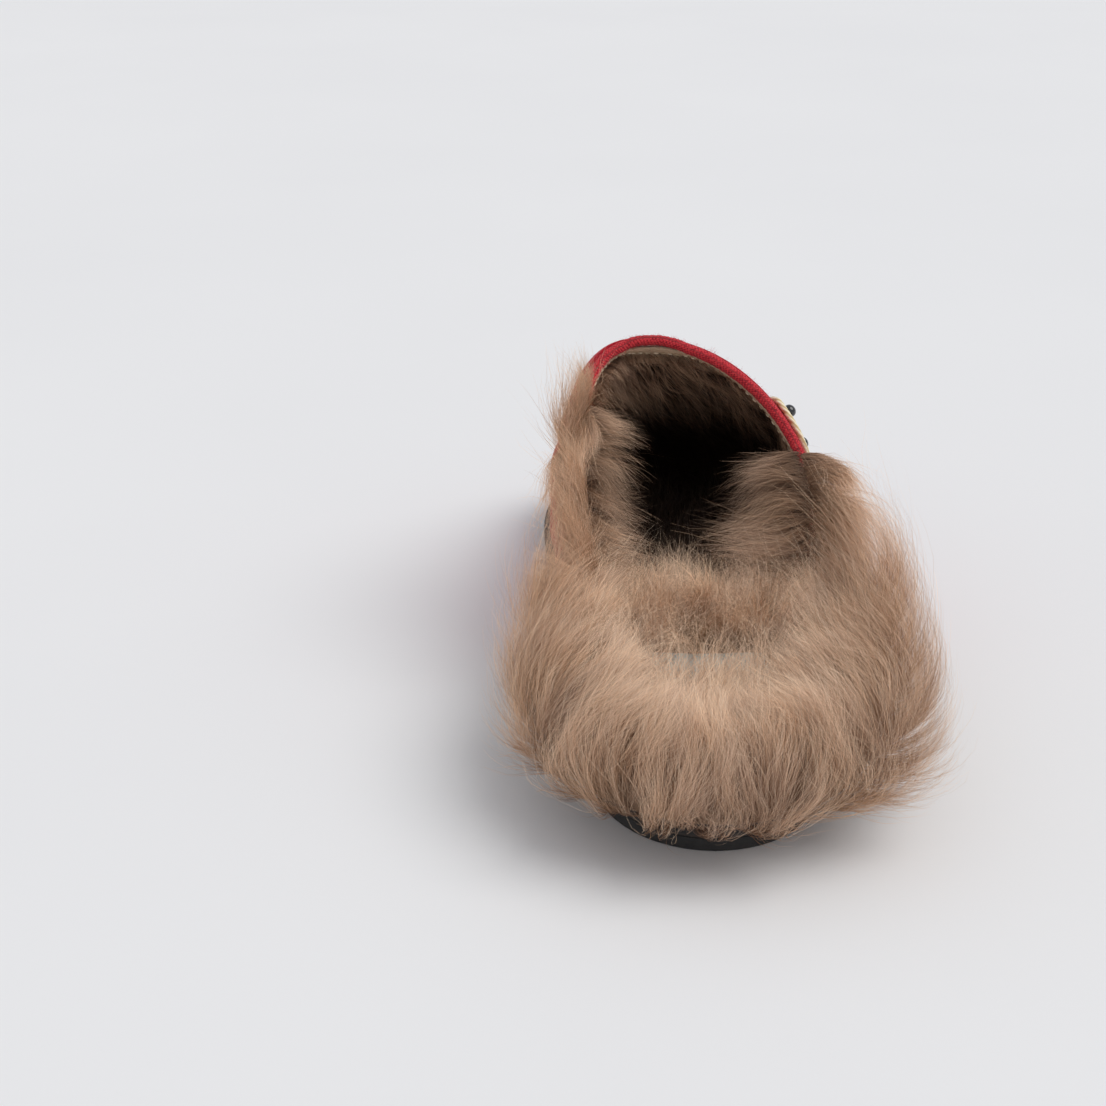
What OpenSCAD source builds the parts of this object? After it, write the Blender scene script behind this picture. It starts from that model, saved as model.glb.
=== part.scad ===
// Fluffy house slipper: a backless, fur-lined mule for the right foot.
// The slipper lies along Y with its heel at -Y, its toe at +Y and its inner side at -X.
// Inside the file, shapes are drawn with y = 0 at the back of the heel; shoe() then centres them.

/* [Sole] */
// Length of the outsole
sole_l = 258; // [240:1:275]
// Width of the heel
heel_w = 65; // [58:1:72]
// Narrowest width of the sole, at the waist
waist_w = 62; // [56:1:66]
// Widest part of the sole, across the ball
ball_w = 91; // [84:1:98]
// Thickness of the outsole
outsole_t = 4; // [3:0.5:5]
// Height of the heel under the outsole
heel_h = 10; // [8:0.5:13]
// Thickness of the rubber top piece under the heel
top_piece_t = 4; // [3:0.5:5]
// Rise of the toe above the floor
toe_spring = 5; // [2:0.5:8]

/* [Footbed] */
// Thickness of the insole board
board_t = 2.5; // [2:0.5:3]
// Thickness of the foam cushion
foam_t = 4; // [3:0.5:6]
// Thickness of the fur's own hide
hide_t = 1; // [0.8:0.1:1.2]
// Depth of the trodden fur on the footbed
footbed_fur = 10; // [7:1:11]

/* [Upper] */
// Height of the instep ridge above the outsole, at the topline
instep_h = 92; // [86:1:96]
// Distance from the back of the heel to the top of the topline
topline_y = 157; // [152:1:162]
// Distance from the back of the heel to the foot of the topline
wing_y = 95; // [92:1:100]
// Thickness of the felt upper
felt_t = 1.8; // [1.4:0.1:2]
// Depth of the fur inside the upper
lining_fur = 5.5; // [4:0.5:7]
// Radius of the rolled topline edge
roll_r = 1.7; // [1.4:0.1:2]

/* [Heel fur] */
// How far the heel fur stands out from the sole
fur_out = 21; // [16:1:24]
// Height of the heel fur above the underside of the outsole
fur_up = 31; // [26:1:34]

/* [Flex] */
// Distance from the back of the heel to the flex line across the ball
flex_y = 165; // [162:1:168]

/* [Hidden] */

$fn = 32;

// Stations along the sole, measured from the back of the heel.
heel_y = 35;                        // widest part of the heel
waist_y = 105;                      // narrowest part of the waist
ball_y = 180;                       // widest part of the ball
heel_flat_end = 78;                 // the heel seat is level up to here
heel_breast = 66;                   // front face of the heel block
tread_start = 150;                  // the tread lies on the floor from here
tread_end = 195;                    // ... to here, then springs up to the toe
waist_shift = 2.5;                  // the waist leans towards the outer side
toe_shift = -12;                    // the toe points towards the inner side

clear = 0.3;                        // gap between pieces that only lie next to each other
layer_gap = 0.55;                   // gap between the upper's layers, whose facets differ
tape_t = 0.5;                       // thickness of the topline tape and the toe puff
seat_gap = 0.15;                    // gap under the upper's lower edge
steps_round = 72;                   // points round a sole outline
steps_long = 42;                    // points along a sole profile

board_z = outsole_t;                // heights above the outsole's underside
foam_z = board_z + board_t;
hide_z = foam_z + foam_t;
pile_z = hide_z + hide_t;

centre_y = (sole_l - fur_out) / 2;

// ---- curves shared by every layer -------------------------------------------------

// Eases from 0 to 1 with level ends.
function ease(t) = let (c = min(1, max(0, t))) c * c * (3 - 2 * c);
function between(a, b, t) = a + (b - a) * ease(t);

// Falls from 1 to 0 as t runs from 0 to 1, with a round shoulder of fullness n.
function shoulder(t, n) = pow(1 - pow(min(1, max(0, t)), n), 1 / n);

function toe_share(y) = (y - ball_y) / (sole_l - ball_y);

function half_width(y) =
    (y < waist_y ? between(heel_w, waist_w, (y - heel_y) / (waist_y - heel_y))
                 : between(waist_w, ball_w, (y - waist_y) / (ball_y - waist_y))) / 2
    * shoulder(1 - y / heel_y, 2) * shoulder(toe_share(y), 2.3);

function mid_x(y) =
    y < waist_y ? between(0, waist_shift, (y - heel_y) / (waist_y - heel_y))
    : y < ball_y ? between(waist_shift, 0, (y - waist_y) / (ball_y - waist_y))
    : between(0, toe_shift, toe_share(y));

// Height of the outsole's underside: a level heel seat, a waist slope, the tread and the toe spring.
function under_z(y) =
    y < tread_start ? between(heel_h, 0, (y - heel_flat_end) / (tread_start - heel_flat_end))
    : toe_spring * pow(max(0, (y - tread_end) / (sole_l - tread_end)), 1.8);

// ---- sole layers ------------------------------------------------------------------

// Angle 0 is the back of the heel, 180 the toe; the outer side comes first.
function sole_edge(a) =
    let (y = sole_l / 2 * (1 - cos(a)))
    [mid_x(y) + (sin(a) < 0 ? -1 : 1) * half_width(y), y];

// The outline moved out by d along its own normal.
function sole_edge_out(a, d) =
    let (along = sole_edge(a + 2) - sole_edge(a - 2))
    sole_edge(a) + d * [along[1], -along[0]] / norm(along);

module sole_plan(d) {
    polygon([for (i = [0 : steps_round - 1]) sole_edge_out(i * 360 / steps_round, d)]);
}

// A slab that follows the underside from height lo to height hi, between stations y0 and y1.
module sole_slab(lo, hi, y0, y1) {
    stations = [for (i = [0 : steps_long]) y0 + (y1 - y0) * i / steps_long];
    rotate([90, 0, 90])
        translate([0, 0, -ball_w])
            linear_extrude(2 * ball_w)
                polygon(concat([for (y = stations) [y, under_z(y) + lo]],
                               [for (i = [0 : steps_long])
                                   let (y = stations[steps_long - i]) [y, under_z(y) + hi]]));
}

module sole_layer(d, lo, hi, y0, y1) {
    intersection() {
        translate([0, 0, -heel_h])
            linear_extrude(4 * instep_h)
                sole_plan(d);
        sole_slab(lo, hi, y0, y1);
    }
}

back_end = -1;                      // past the heel
front_end = sole_l + 1;             // past the toe
board_inset = -8.2;                 // the footbed stands inside the upper's layers

// ---- upper surface ----------------------------------------------------------------

ridge_x = -11;                      // the instep ridge lies towards the inner side
edge_inset = 2.5;                   // the upper stands inside the outsole's edge
wall_bulge = 9;                     // the side walls stand out past the waist by this much
wall_share = 0.6;                   // share of u, from the ridge, taken by the arch over the foot
wall_mid = 0.4;                     // height where the arch meets the side wall, as a share
cap_y = 212;                        // the toe cap starts to round here
steps_u = 28;                       // facets across the upper
back_slope = 0.3;                   // the ridge rises this steeply behind the topline
vamp_slope = 0.9;                   // ... and falls this steeply in front of it
vamp_hollow = 0.0025;               // ... easing off towards the toe

// Height of the instep ridge above the outsole, at a distance d in front of the topline.
function ridge_fall(d) = d < 0 ? back_slope * d : (vamp_slope - vamp_hollow * d) * d;
function ridge_h(y) = instep_h - ridge_fall(y - topline_y);
function cap_round(y) = shoulder((y - cap_y) / (sole_l - cap_y), 2.4);

// Where the topline lies: rounded over the ridge, running back down both sides.
topline_bend = 0.2;
function topline_at(u) =
    topline_y - (topline_y - wing_y) * (sqrt(u * u + topline_bend * topline_bend) - topline_bend)
    / (sqrt(1 + topline_bend * topline_bend) - topline_bend);

// Point of the upper. u runs from the inner sole edge (-1) over the ridge (0) to the outer (1),
// yq is the station, inset the depth under the outer face, foot the height of the lower edge.
function upper_at(u, yq, inset, foot) =
    let (side = u < 0 ? -1 : 1,
         shrink = 1 - (edge_inset + inset) / (ball_w / 2),
         y = yq < ball_y ? yq : ball_y + (yq - ball_y) * (1 - (edge_inset + inset) / (sole_l - ball_y)),
         edge = half_width(yq) * shrink,
         bulge = wall_bulge * (1 - ease((yq - waist_y) / (ball_y - waist_y))),
         base = under_z(y) + outsole_t + seat_gap,
         top = base + (ridge_h(yq) - inset) * cap_round(yq),
         mid = base + wall_mid * (top - base),
         low = min(base + foot, mid),
         fullness = side < 0 ? between(2.8, 2.2, (yq - topline_y) / 60)
                             : between(1.75, 2.2, (yq - topline_y) / 60),
         ridge = ridge_x,
         wall_x = mid_x(yq) + side * (edge + bulge),
         a = 90 * min(1, abs(u) / wall_share),
         f = max(0, (abs(u) - wall_share) / (1 - wall_share)),
         z_wall = mid - (mid - low) * f,
         down = (mid - z_wall) / max(0.01, mid - base))
    abs(u) <= wall_share
        ? [ridge + (wall_x - ridge) * pow(sin(a), 2 / fullness), y,
           mid + (top - mid) * pow(cos(a), 2 / fullness)]
        : [wall_x - side * bulge * down * down, y, z_wall];

function upper_station(u, v, back) =
    let (y0 = topline_at(u) + back) y0 + (sole_l - y0) * sin(90 * v);

// A shell between depths near and far, from v0 to v1 along the upper; setback moves its topline in.
module upper_shell(near, far, v0, v1, steps_v, foot = 0, setback = 0) {
    closed = v1 >= 1;
    rows = closed ? steps_v : steps_v + 1;
    across = steps_u + 1;
    grid = rows * across;
    layer = grid + (closed ? 1 : 0);
    points = [for (inset = [near, far]) each concat(
        [for (j = [0 : rows - 1], i = [0 : steps_u])
            let (u = 2 * i / steps_u - 1)
            upper_at(u, upper_station(u, v0 + (v1 - v0) * j / steps_v, setback), inset, foot)],
        closed ? [upper_at(0.999, sole_l, inset, 0)] : [])];
    skins = [for (j = [0 : rows - 2], i = [0 : steps_u - 1])
        let (a = j * across + i, b = a + 1, c = a + across, d = c + 1)
        each [[a, b, c], [b, d, c], [layer + a, layer + c, layer + b],
              [layer + b, layer + c, layer + d]]];
    tip = !closed ? [] : [for (i = [0 : steps_u - 1])
        let (a = (rows - 1) * across + i)
        each [[a, a + 1, grid], [layer + a, layer + grid, layer + a + 1]]];
    front = closed ? [] : [for (i = [0 : steps_u - 1])
        let (a = (rows - 1) * across + i)
        each [[a, a + 1, layer + a], [a + 1, layer + a + 1, layer + a]]];
    topline = [for (i = [0 : steps_u - 1])
        each [[i, layer + i, i + 1], [i + 1, layer + i, layer + i + 1]]];
    feet = [for (j = [0 : rows - 2])
        let (a = j * across, b = a + across, c = a + steps_u, d = b + steps_u)
        each [[a, b, layer + a], [b, layer + b, layer + a],
              [c, layer + c, d], [d, layer + c, layer + d]]];
    tip_feet = !closed ? [] :
        let (a = (rows - 1) * across, c = a + steps_u)
        [[a, grid, layer + a], [grid, layer + grid, layer + a],
         [c, layer + c, grid], [grid, layer + c, layer + grid]];
    polyhedron(points, concat(skins, tip, front, topline, feet, tip_feet));
}

// Depths of the upper's layers under its outer face.
felt_in = felt_t;
puff_out = felt_in + layer_gap;
puff_in = puff_out + tape_t;
hide_out = puff_in + layer_gap;
hide_in = hide_out + hide_t;
pile_out = hide_in + layer_gap;
pile_in = pile_out + lining_fur;
facing_reach = 9;                   // width of the facing and of the tape under it

// ---- sweeps -----------------------------------------------------------------------

function unit(v) = v / norm(v);

// A closed tube through rings of equally many points.
module tube(rings) {
    n = len(rings[0]);
    last = len(rings) - 1;
    sides = [for (j = [0 : last - 1], i = [0 : n - 1])
        let (a = j * n + i, b = j * n + (i + 1) % n)
        each [[a, b, a + n], [b, b + n, a + n]]];
    ends = [for (i = [1 : n - 2]) each [[0, i + 1, i], [last * n, last * n + i, last * n + i + 1]]];
    polyhedron([for (ring = rings) each ring], concat(sides, ends));
}

// ---- frame ------------------------------------------------------------------------

module shoe() {
    translate([0, -centre_y, 0])
        children();
}

// ---- sole -------------------------------------------------------------------------

split = clear / 2;                  // half the gap at the flex line

module outsole_forepart() {
    color("#1c1a1a")
        shoe()
            sole_layer(0, 0, outsole_t, flex_y + split, front_end);
}

module outsole_rear() {
    color("#1c1a1a")
        shoe()
            sole_layer(0, 0, outsole_t, back_end, flex_y - split);
}

nail_r = 0.9;
nail_ring = 17;                     // the nails stand on a ring in the heel seat
nail_seat = 0.4;                    // the nails stop short of the floor
nail_top = heel_h - 1;
nail_places = [for (a = [0 : 72 : 288]) [nail_ring * sin(a), 33 - nail_ring * cos(a)]];

module at_nails() {
    for (place = nail_places)
        translate([place[0], place[1], 0])
            children();
}

// The heel's plan: the sole outline, drawn in a little, up to the breast.
module heel_stack(lo, hi) {
    intersection() {
        translate([0, 0, lo])
            linear_extrude(hi - lo)
                sole_plan(-0.8);
        translate([-heel_w, -1, lo])
            cube([2 * heel_w, heel_breast + 1, hi - lo]);
    }
}

module heel_block() {
    color("#2a2624")
        shoe()
            difference() {
                heel_stack(top_piece_t, heel_h);
                at_nails()
                    cylinder(h = nail_top, r = nail_r + 0.05);
            }
}

module heel_top_piece() {
    color("#141414")
        shoe()
            difference() {
                heel_stack(0, top_piece_t);
                at_nails()
                    translate([0, 0, -1])
                        cylinder(h = top_piece_t + 2, r = nail_r + 0.05);
            }
}

module heel_nails() {
    color("#8a8478")
        shoe()
            at_nails()
                translate([0, 0, nail_seat])
                    cylinder(h = nail_top - nail_seat - 0.1, r = nail_r);
}

// ---- footbed ----------------------------------------------------------------------

shank_w = 12;
shank_t = 1.2;
shank_start = 40;
shank_end = 142;
rivet_r = 1.5;
rivet_ys = [52, 70];                // both rivets stand in the level heel seat

module at_rivets() {
    for (y = rivet_ys)
        translate([mid_x(y), y, heel_h + board_z])
            children();
}

// The shank's own space: its strip, widened by the given gap.
module shank_strip(gap) {
    intersection() {
        sole_slab(gap > 0 ? 0 : board_z + 0.15, board_z + 0.15 + shank_t + gap,
                  shank_start - gap, shank_end + gap);
        translate([mid_x(heel_flat_end) - shank_w / 2 - gap, 0, 0])
            cube([shank_w + 2 * gap, sole_l, instep_h]);
    }
}

module steel_shank() {
    color("#9aa0a6")
        shoe()
            difference() {
                shank_strip(0);
                at_rivets()
                    translate([0, 0, -1])
                        cylinder(h = shank_t + 2, r = rivet_r + 0.05);
            }
}

module shank_rivets() {
    color("#b5a070")
        shoe()
            at_rivets()
                translate([0, 0, 0.1])
                    cylinder(h = board_t - 0.2, r = rivet_r);
}

module insole_board_forepart() {
    color("#a88a63")
        shoe()
            sole_layer(board_inset, board_z, foam_z, flex_y + split, front_end);
}

module insole_board_rear() {
    color("#a88a63")
        shoe()
            difference() {
                sole_layer(board_inset, board_z, foam_z, back_end, flex_y - split);
                shank_strip(0.2);
                at_rivets()
                    translate([0, 0, -1])
                        cylinder(h = board_t + 2, r = rivet_r + 0.05);
            }
}

module footbed_foam() {
    color("#d9cfb8")
        shoe()
            sole_layer(board_inset, foam_z + seat_gap, hide_z, back_end, front_end);
}

module footbed_hide() {
    color("#c9b08c")
        shoe()
            sole_layer(board_inset - 0.8, hide_z, pile_z, back_end, front_end);
}

label_w = 36;
label_l = 17;
label_t = 0.6;
label_y = 66;                       // centre of the label
label_x = 3;

module footbed_fur_pile() {
    color("#ab8a6c")
        shoe()
            difference() {
                sole_layer(board_inset - 2, pile_z + seat_gap, pile_z + footbed_fur, 4, sole_l - 28);
                translate([label_x - label_w / 2 - 1, label_y - label_l / 2 - 1, heel_h])
                    cube([label_w + 2, label_l + 2, pile_z + footbed_fur + 10]);
            }
}

module insole_label() {
    color("#8fb3b5")
        shoe()
            translate([label_x - label_w / 2, label_y - label_l / 2, heel_h + pile_z])
                cube([label_w, label_l, label_t]);
}

// ---- heel fur ---------------------------------------------------------------------

// The fur at the heel turns down over the sole's edge, from one wing round to the other.
wrap_half_turn = 71;                // angle from the back of the heel to each end, on the outline
wrap_steps = 40;
wrap_hide_out = board_inset + clear + hide_t;

function wrap_ring(a, section) =
    let (p0 = sole_edge(a), taper = 1 - 0.3 * ease((abs(a) - 40) / 26))
    [for (s = section)
        let (reach = s[0] > 0 ? s[0] * taper : s[0],
             p = sole_edge_out(a, reach))
        [p[0], p[1], under_z(p0[1]) + s[1]]];

module wrap(section) {
    tube([for (i = [0 : wrap_steps])
        wrap_ring(-wrap_half_turn + 2 * wrap_half_turn * i / wrap_steps, section)]);
}

module heel_hide_wrap() {
    color("#c9b08c")
        shoe()
            wrap([[board_inset + clear, board_z + seat_gap], [board_inset + clear, pile_z],
                  [wrap_hide_out, pile_z], [wrap_hide_out, board_z + seat_gap]]);
}

// Section of the fur roll, as [distance out from the sole's edge, height above its underside].
fur_section = [
    [0.6, board_z + 0.4], [wrap_hide_out + clear, board_z + 0.4],
    [wrap_hide_out + clear, fur_up - 3], [-2, fur_up], [8, fur_up], [fur_out - 3, fur_up - 8],
    [fur_out, fur_up - 19], [fur_out - 4, 1], [8, -5], [0.6, -4]];

module heel_fur_pile() {
    color("#b08f6e")
        shoe()
            wrap(fur_section);
}

// ---- upper ------------------------------------------------------------------------

module felt_vamp() {
    color("#a3202f")
        shoe()
            upper_shell(0, felt_in, 0, 1, 18);
}

module toe_puff() {
    color("#cfc6b4")
        shoe()
            upper_shell(puff_out, puff_in, 0.62, 1, 8);
}

// A band along the topline between two depths, reach wide.
module topline_band(near, far, reach) {
    rows = [for (inset = [near, far], j = [0, 0.5, 1])
        [for (i = [0 : steps_u])
            let (u = 2 * i / steps_u - 1)
            upper_at(u, topline_at(u) + reach * j, inset, 0)]];
    tube([for (i = [0 : steps_u])
        [rows[0][i], rows[1][i], rows[2][i], rows[5][i], rows[4][i], rows[3][i]]]);
}

module topline_tape() {
    color("#e6e1d6")
        shoe()
            topline_band(puff_out, puff_in, facing_reach);
}

module topline_facing() {
    color("#c4a27c")
        shoe()
            topline_band(hide_out, hide_in, facing_reach);
}

module vamp_lining_hide() {
    color("#c9b08c")
        shoe()
            upper_shell(hide_out, hide_in, 0, 1, 16, 0, facing_reach + clear);
}

lining_foot = pile_z + footbed_fur - outsole_t + 0.6;

module vamp_lining_pile() {
    color("#8d7056")
        shoe()
            upper_shell(pile_out, pile_in, 0, 0.8, 13, lining_foot, facing_reach + 1.5);
}

// A round cord along the topline at the given depth and distance behind the edge.
module topline_roll(depth, behind, r, sides) {
    tube([for (i = [0 : steps_u])
        let (u = 0.998 * (2 * i / steps_u - 1),
             y = topline_at(u),
             here = upper_at(u, y, depth, 0),
             along = unit(upper_at(min(1, u + 0.01), topline_at(min(1, u + 0.01)), depth, 0)
                          - upper_at(max(-1, u - 0.01), topline_at(max(-1, u - 0.01)), depth, 0)),
             back0 = here - upper_at(u, y + 2, depth, 0),
             back = unit(back0 - (back0 * along) * along),
             out = cross(along, back),
             middle = here + behind * back)
        [for (k = [0 : sides - 1])
            middle + r * (cos(360 * k / sides) * back + sin(360 * k / sides) * out)]]);
}

module rolled_topline() {
    color("#b3202e")
        shoe()
            topline_roll(hide_in / 2, roll_r + layer_gap, roll_r, 12);
}

stitch_l = 2.4;
stitch_r = 0.3;
stitch_depth = hide_in + stitch_r + layer_gap;
stitch_back = 2;                    // distance of the row from the topline
stitch_from = 6;                    // facets without stitches at each end of the facing

function stitch_row(i) =
    let (u = 2 * i / steps_u - 1)
    upper_at(u, topline_at(u) + stitch_back, stitch_depth, 0);

// Two stitches lie on each facet of the facing.
module facing_stitches() {
    color("#efe6cf")
        shoe()
            for (i = [stitch_from : steps_u - 1 - stitch_from], share = [0.25, 0.75]) {
                step = stitch_row(i + 1) - stitch_row(i);
                way = unit(step);
                translate(stitch_row(i) + share * step)
                    rotate([0, acos(way[2]), atan2(way[1], way[0])])
                        translate([0, 0, -stitch_l / 2])
                            cylinder(h = stitch_l, r = stitch_r, $fn = 16);
            }
}

// ---- appliqué ---------------------------------------------------------------------

// A plain oval patch on the outer side of the vamp, with a raised border and two beads.
patch_u = 0.42;
patch_y = 168;
patch_half_u = 0.1;
patch_half_y = 17;
patch_lift = -0.3;                  // depths are negative outside the felt
patch_t = 1;

function patch_at(r, a, lift) =
    upper_at(patch_u + patch_half_u * r * cos(a), patch_y + patch_half_y * r * sin(a), lift, 0);

patch_steps = 28;

module patch_disc(r, low, high) {
    rings = [for (lift = [low, high]) [for (i = [0 : patch_steps - 1])
        patch_at(r, 360 * i / patch_steps, lift)]];
    n = patch_steps;
    points = concat(rings[0], rings[1], [patch_at(0, 0, low), patch_at(0, 0, high)]);
    polyhedron(points, [for (i = [0 : n - 1])
        let (j = (i + 1) % n)
        each [[i, j, n + i], [j, n + j, n + i], [2 * n, j, i], [2 * n + 1, n + i, n + j]]]);
}

module applique_patch() {
    color("#e3cf8a")
        shoe()
            patch_disc(0.86, patch_lift, patch_lift - patch_t);
}

module applique_border() {
    color("#f0e2b0")
        shoe()
            ring_tube(1, patch_lift - 1.1, 1);
}

// A closed round ring at share r of the patch.
module ring_tube(r, lift, thick) {
    n = patch_steps;
    m = 8;
    points = [for (i = [0 : n - 1])
        let (a = 360 * i / n,
             here = patch_at(r, a, lift),
             along = unit(patch_at(r, a + 1, lift) - patch_at(r, a - 1, lift)),
             up0 = patch_at(r, a, lift - 1) - here,
             up = unit(up0 - (up0 * along) * along),
             out = cross(up, along))
        each [for (k = [0 : m - 1])
            here + thick * (cos(360 * k / m) * up + sin(360 * k / m) * out)]];
    polyhedron(points, [for (i = [0 : n - 1], k = [0 : m - 1])
        let (a = i * m + k, b = i * m + (k + 1) % m,
             c = ((i + 1) % n) * m + k, d = ((i + 1) % n) * m + (k + 1) % m)
        each [[a, b, c], [b, d, c]]]);
}

bead_r = 2.2;
bead_places = [[-0.45, -8], [0.35, 6]];

module applique_beads() {
    color("#0d0d0f")
        shoe()
            for (place = bead_places)
                translate(upper_at(patch_u + patch_half_u * place[0], patch_y + place[1],
                                   patch_lift - patch_t - bead_r - 0.25, 0))
                    sphere(r = bead_r);
}

outsole_forepart();
outsole_rear();
heel_block();
heel_top_piece();
heel_nails();
steel_shank();
shank_rivets();
insole_board_forepart();
insole_board_rear();
footbed_foam();
footbed_hide();
footbed_fur_pile();
insole_label();
heel_hide_wrap();
heel_fur_pile();
felt_vamp();
toe_puff();
topline_tape();
topline_facing();
vamp_lining_hide();
vamp_lining_pile();
rolled_topline();
facing_stitches();
applique_patch();
applique_border();
applique_beads();
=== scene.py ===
"""Fluffy house slipper: the looks of a fur-lined, backless slipper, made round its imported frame.

Lengths are in metres. Shapes are worked out in the shoe's own stations, where y = 0 is the back of
the heel, and place() moves them into the row frame.
"""
import math

import bmesh
import bpy
import numpy as np
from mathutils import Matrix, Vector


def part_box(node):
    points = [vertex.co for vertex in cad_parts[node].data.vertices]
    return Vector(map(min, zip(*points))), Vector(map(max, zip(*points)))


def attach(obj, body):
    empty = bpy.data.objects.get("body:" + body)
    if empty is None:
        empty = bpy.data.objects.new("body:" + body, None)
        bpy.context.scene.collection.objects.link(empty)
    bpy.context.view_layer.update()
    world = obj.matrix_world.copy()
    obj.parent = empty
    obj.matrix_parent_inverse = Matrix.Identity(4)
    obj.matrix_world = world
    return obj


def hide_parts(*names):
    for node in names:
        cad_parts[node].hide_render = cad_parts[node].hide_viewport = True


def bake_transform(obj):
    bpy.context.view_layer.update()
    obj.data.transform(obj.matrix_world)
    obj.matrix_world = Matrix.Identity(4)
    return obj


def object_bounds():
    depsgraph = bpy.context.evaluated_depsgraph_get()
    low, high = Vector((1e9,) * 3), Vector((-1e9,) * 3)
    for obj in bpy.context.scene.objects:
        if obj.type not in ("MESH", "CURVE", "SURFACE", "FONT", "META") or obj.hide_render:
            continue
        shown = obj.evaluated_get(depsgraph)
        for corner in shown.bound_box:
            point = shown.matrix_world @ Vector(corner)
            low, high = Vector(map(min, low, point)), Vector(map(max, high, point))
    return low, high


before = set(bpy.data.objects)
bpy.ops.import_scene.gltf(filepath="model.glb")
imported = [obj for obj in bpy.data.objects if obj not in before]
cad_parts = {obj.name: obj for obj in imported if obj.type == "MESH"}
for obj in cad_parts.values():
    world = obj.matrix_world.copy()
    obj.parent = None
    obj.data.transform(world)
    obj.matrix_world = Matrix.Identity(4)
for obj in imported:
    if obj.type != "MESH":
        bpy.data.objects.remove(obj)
CAD_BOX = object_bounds()
MM = 0.001

# ---- driving dimensions, in the order of the part's own source -----------------------------------

HEEL_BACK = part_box("outsole_rear")[0].y
SOLE_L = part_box("outsole_forepart")[1].y - HEEL_BACK
HEEL_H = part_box("heel_block")[1].z
LIFT_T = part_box("heel_top_piece")[1].z
HEEL_W, WAIST_W, BALL_W = 65 * MM, 62 * MM, 91 * MM
HEEL_Y, WAIST_Y, BALL_Y = 35 * MM, 105 * MM, 180 * MM
HEEL_FLAT_END, HEEL_BREAST = 78 * MM, 66 * MM
TREAD_START, TREAD_END = 150 * MM, 195 * MM
WAIST_SHIFT, TOE_SHIFT, TOE_SPRING = 2.5 * MM, -12 * MM, 5 * MM
OUTSOLE_T, BOARD_T, FOAM_T, HIDE_T = 4 * MM, 2.5 * MM, 4 * MM, 1 * MM
FOAM_Z = OUTSOLE_T + BOARD_T
HIDE_Z = FOAM_Z + FOAM_T
PILE_Z = HIDE_Z + HIDE_T
BOARD_INSET = -8.2 * MM

INSTEP_H, TOPLINE_Y, WING_Y = 92 * MM, 157 * MM, 95 * MM
RIDGE_X, EDGE_INSET, WALL_BULGE = -11 * MM, 2.5 * MM, 9 * MM
WALL_SHARE, WALL_MID, CAP_Y = 0.6, 0.4, 212 * MM
FELT_T, ROLL_R, CLEAR = 1.8 * MM, 1.7 * MM, 0.3 * MM
PUFF_OUT, PUFF_IN = 2.35 * MM, 2.85 * MM
SKIN_OUT, SKIN_IN = 3.4 * MM, 4.4 * MM
FACING_REACH = 9 * MM

BEND_START = 123 * MM                           # where the sole starts to bend when the heel lifts
BEND_LEAN, BEND_REACH = 50.0, 45 * MM           # the bend leans back over the wings; its length
BEND_WAY = np.array([0, math.sin(math.radians(BEND_LEAN)), math.cos(math.radians(BEND_LEAN))])


# ---- curves shared by every layer ----------------------------------------------------------------

def ease(t):
    """Eases from 0 to 1 with level ends: 3 t squared less 2 t cubed."""
    c = np.clip(t, 0, 1)
    return c * c * (3 - 2 * c)


def between(a, b, t):
    """Eases from a to b as t goes from 0 to 1."""
    return a + (b - a) * ease(t)


def shoulder(t, n):
    """Falls from 1 to 0 with a round shoulder: the n-th root of 1 less t to the n."""
    return (1 - np.clip(t, 0, 1) ** n) ** (1 / n)


def unit(v):
    """Vectors along the last axis, scaled to length 1."""
    return v / np.maximum(np.linalg.norm(v, axis=-1, keepdims=True), 1e-12)


def half_width(y):
    """Half the sole's width: eased from heel to waist to ball, rounded off at both ends."""
    to_waist = between(HEEL_W, WAIST_W, (y - HEEL_Y) / (WAIST_Y - HEEL_Y))
    to_ball = between(WAIST_W, BALL_W, (y - WAIST_Y) / (BALL_Y - WAIST_Y))
    ends = shoulder(1 - y / HEEL_Y, 2) * shoulder((y - BALL_Y) / (SOLE_L - BALL_Y), 2.3)
    return np.where(y < WAIST_Y, to_waist, to_ball) / 2 * ends


def mid_x(y):
    """The sole's middle line: it leans out at the waist and in at the toe."""
    out = between(0, WAIST_SHIFT, (y - HEEL_Y) / (WAIST_Y - HEEL_Y))
    back = between(WAIST_SHIFT, 0, (y - WAIST_Y) / (BALL_Y - WAIST_Y))
    toe = between(0, TOE_SHIFT, (y - BALL_Y) / (SOLE_L - BALL_Y))
    return np.where(y < WAIST_Y, out, np.where(y < BALL_Y, back, toe))


def under_z(y):
    """Height of the outsole's underside: heel seat, waist slope, level tread, toe spring."""
    slope = between(HEEL_H, 0, (y - HEEL_FLAT_END) / (TREAD_START - HEEL_FLAT_END))
    spring = TOE_SPRING * np.maximum(0, (y - TREAD_END) / (SOLE_L - TREAD_END)) ** 1.8
    return np.where(y < TREAD_START, slope, spring)


def sole_edge(turn, out=0.0):
    """The outline at an angle (0 heel, 180 toe, outer side first), moved out along its normal."""
    def at(a):
        """Point of the outline itself at an angle."""
        y = SOLE_L / 2 * (1 - np.cos(np.radians(a)))
        side = np.where(np.sin(np.radians(a)) < 0, -1.0, 1.0)
        return np.stack([mid_x(y) + side * half_width(y), y], -1)
    along = unit(at(turn + 1.0) - at(turn - 1.0))
    normal = np.stack([along[..., 1], -along[..., 0]], -1)
    return at(turn) + np.asarray(out)[..., None] * normal


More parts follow.
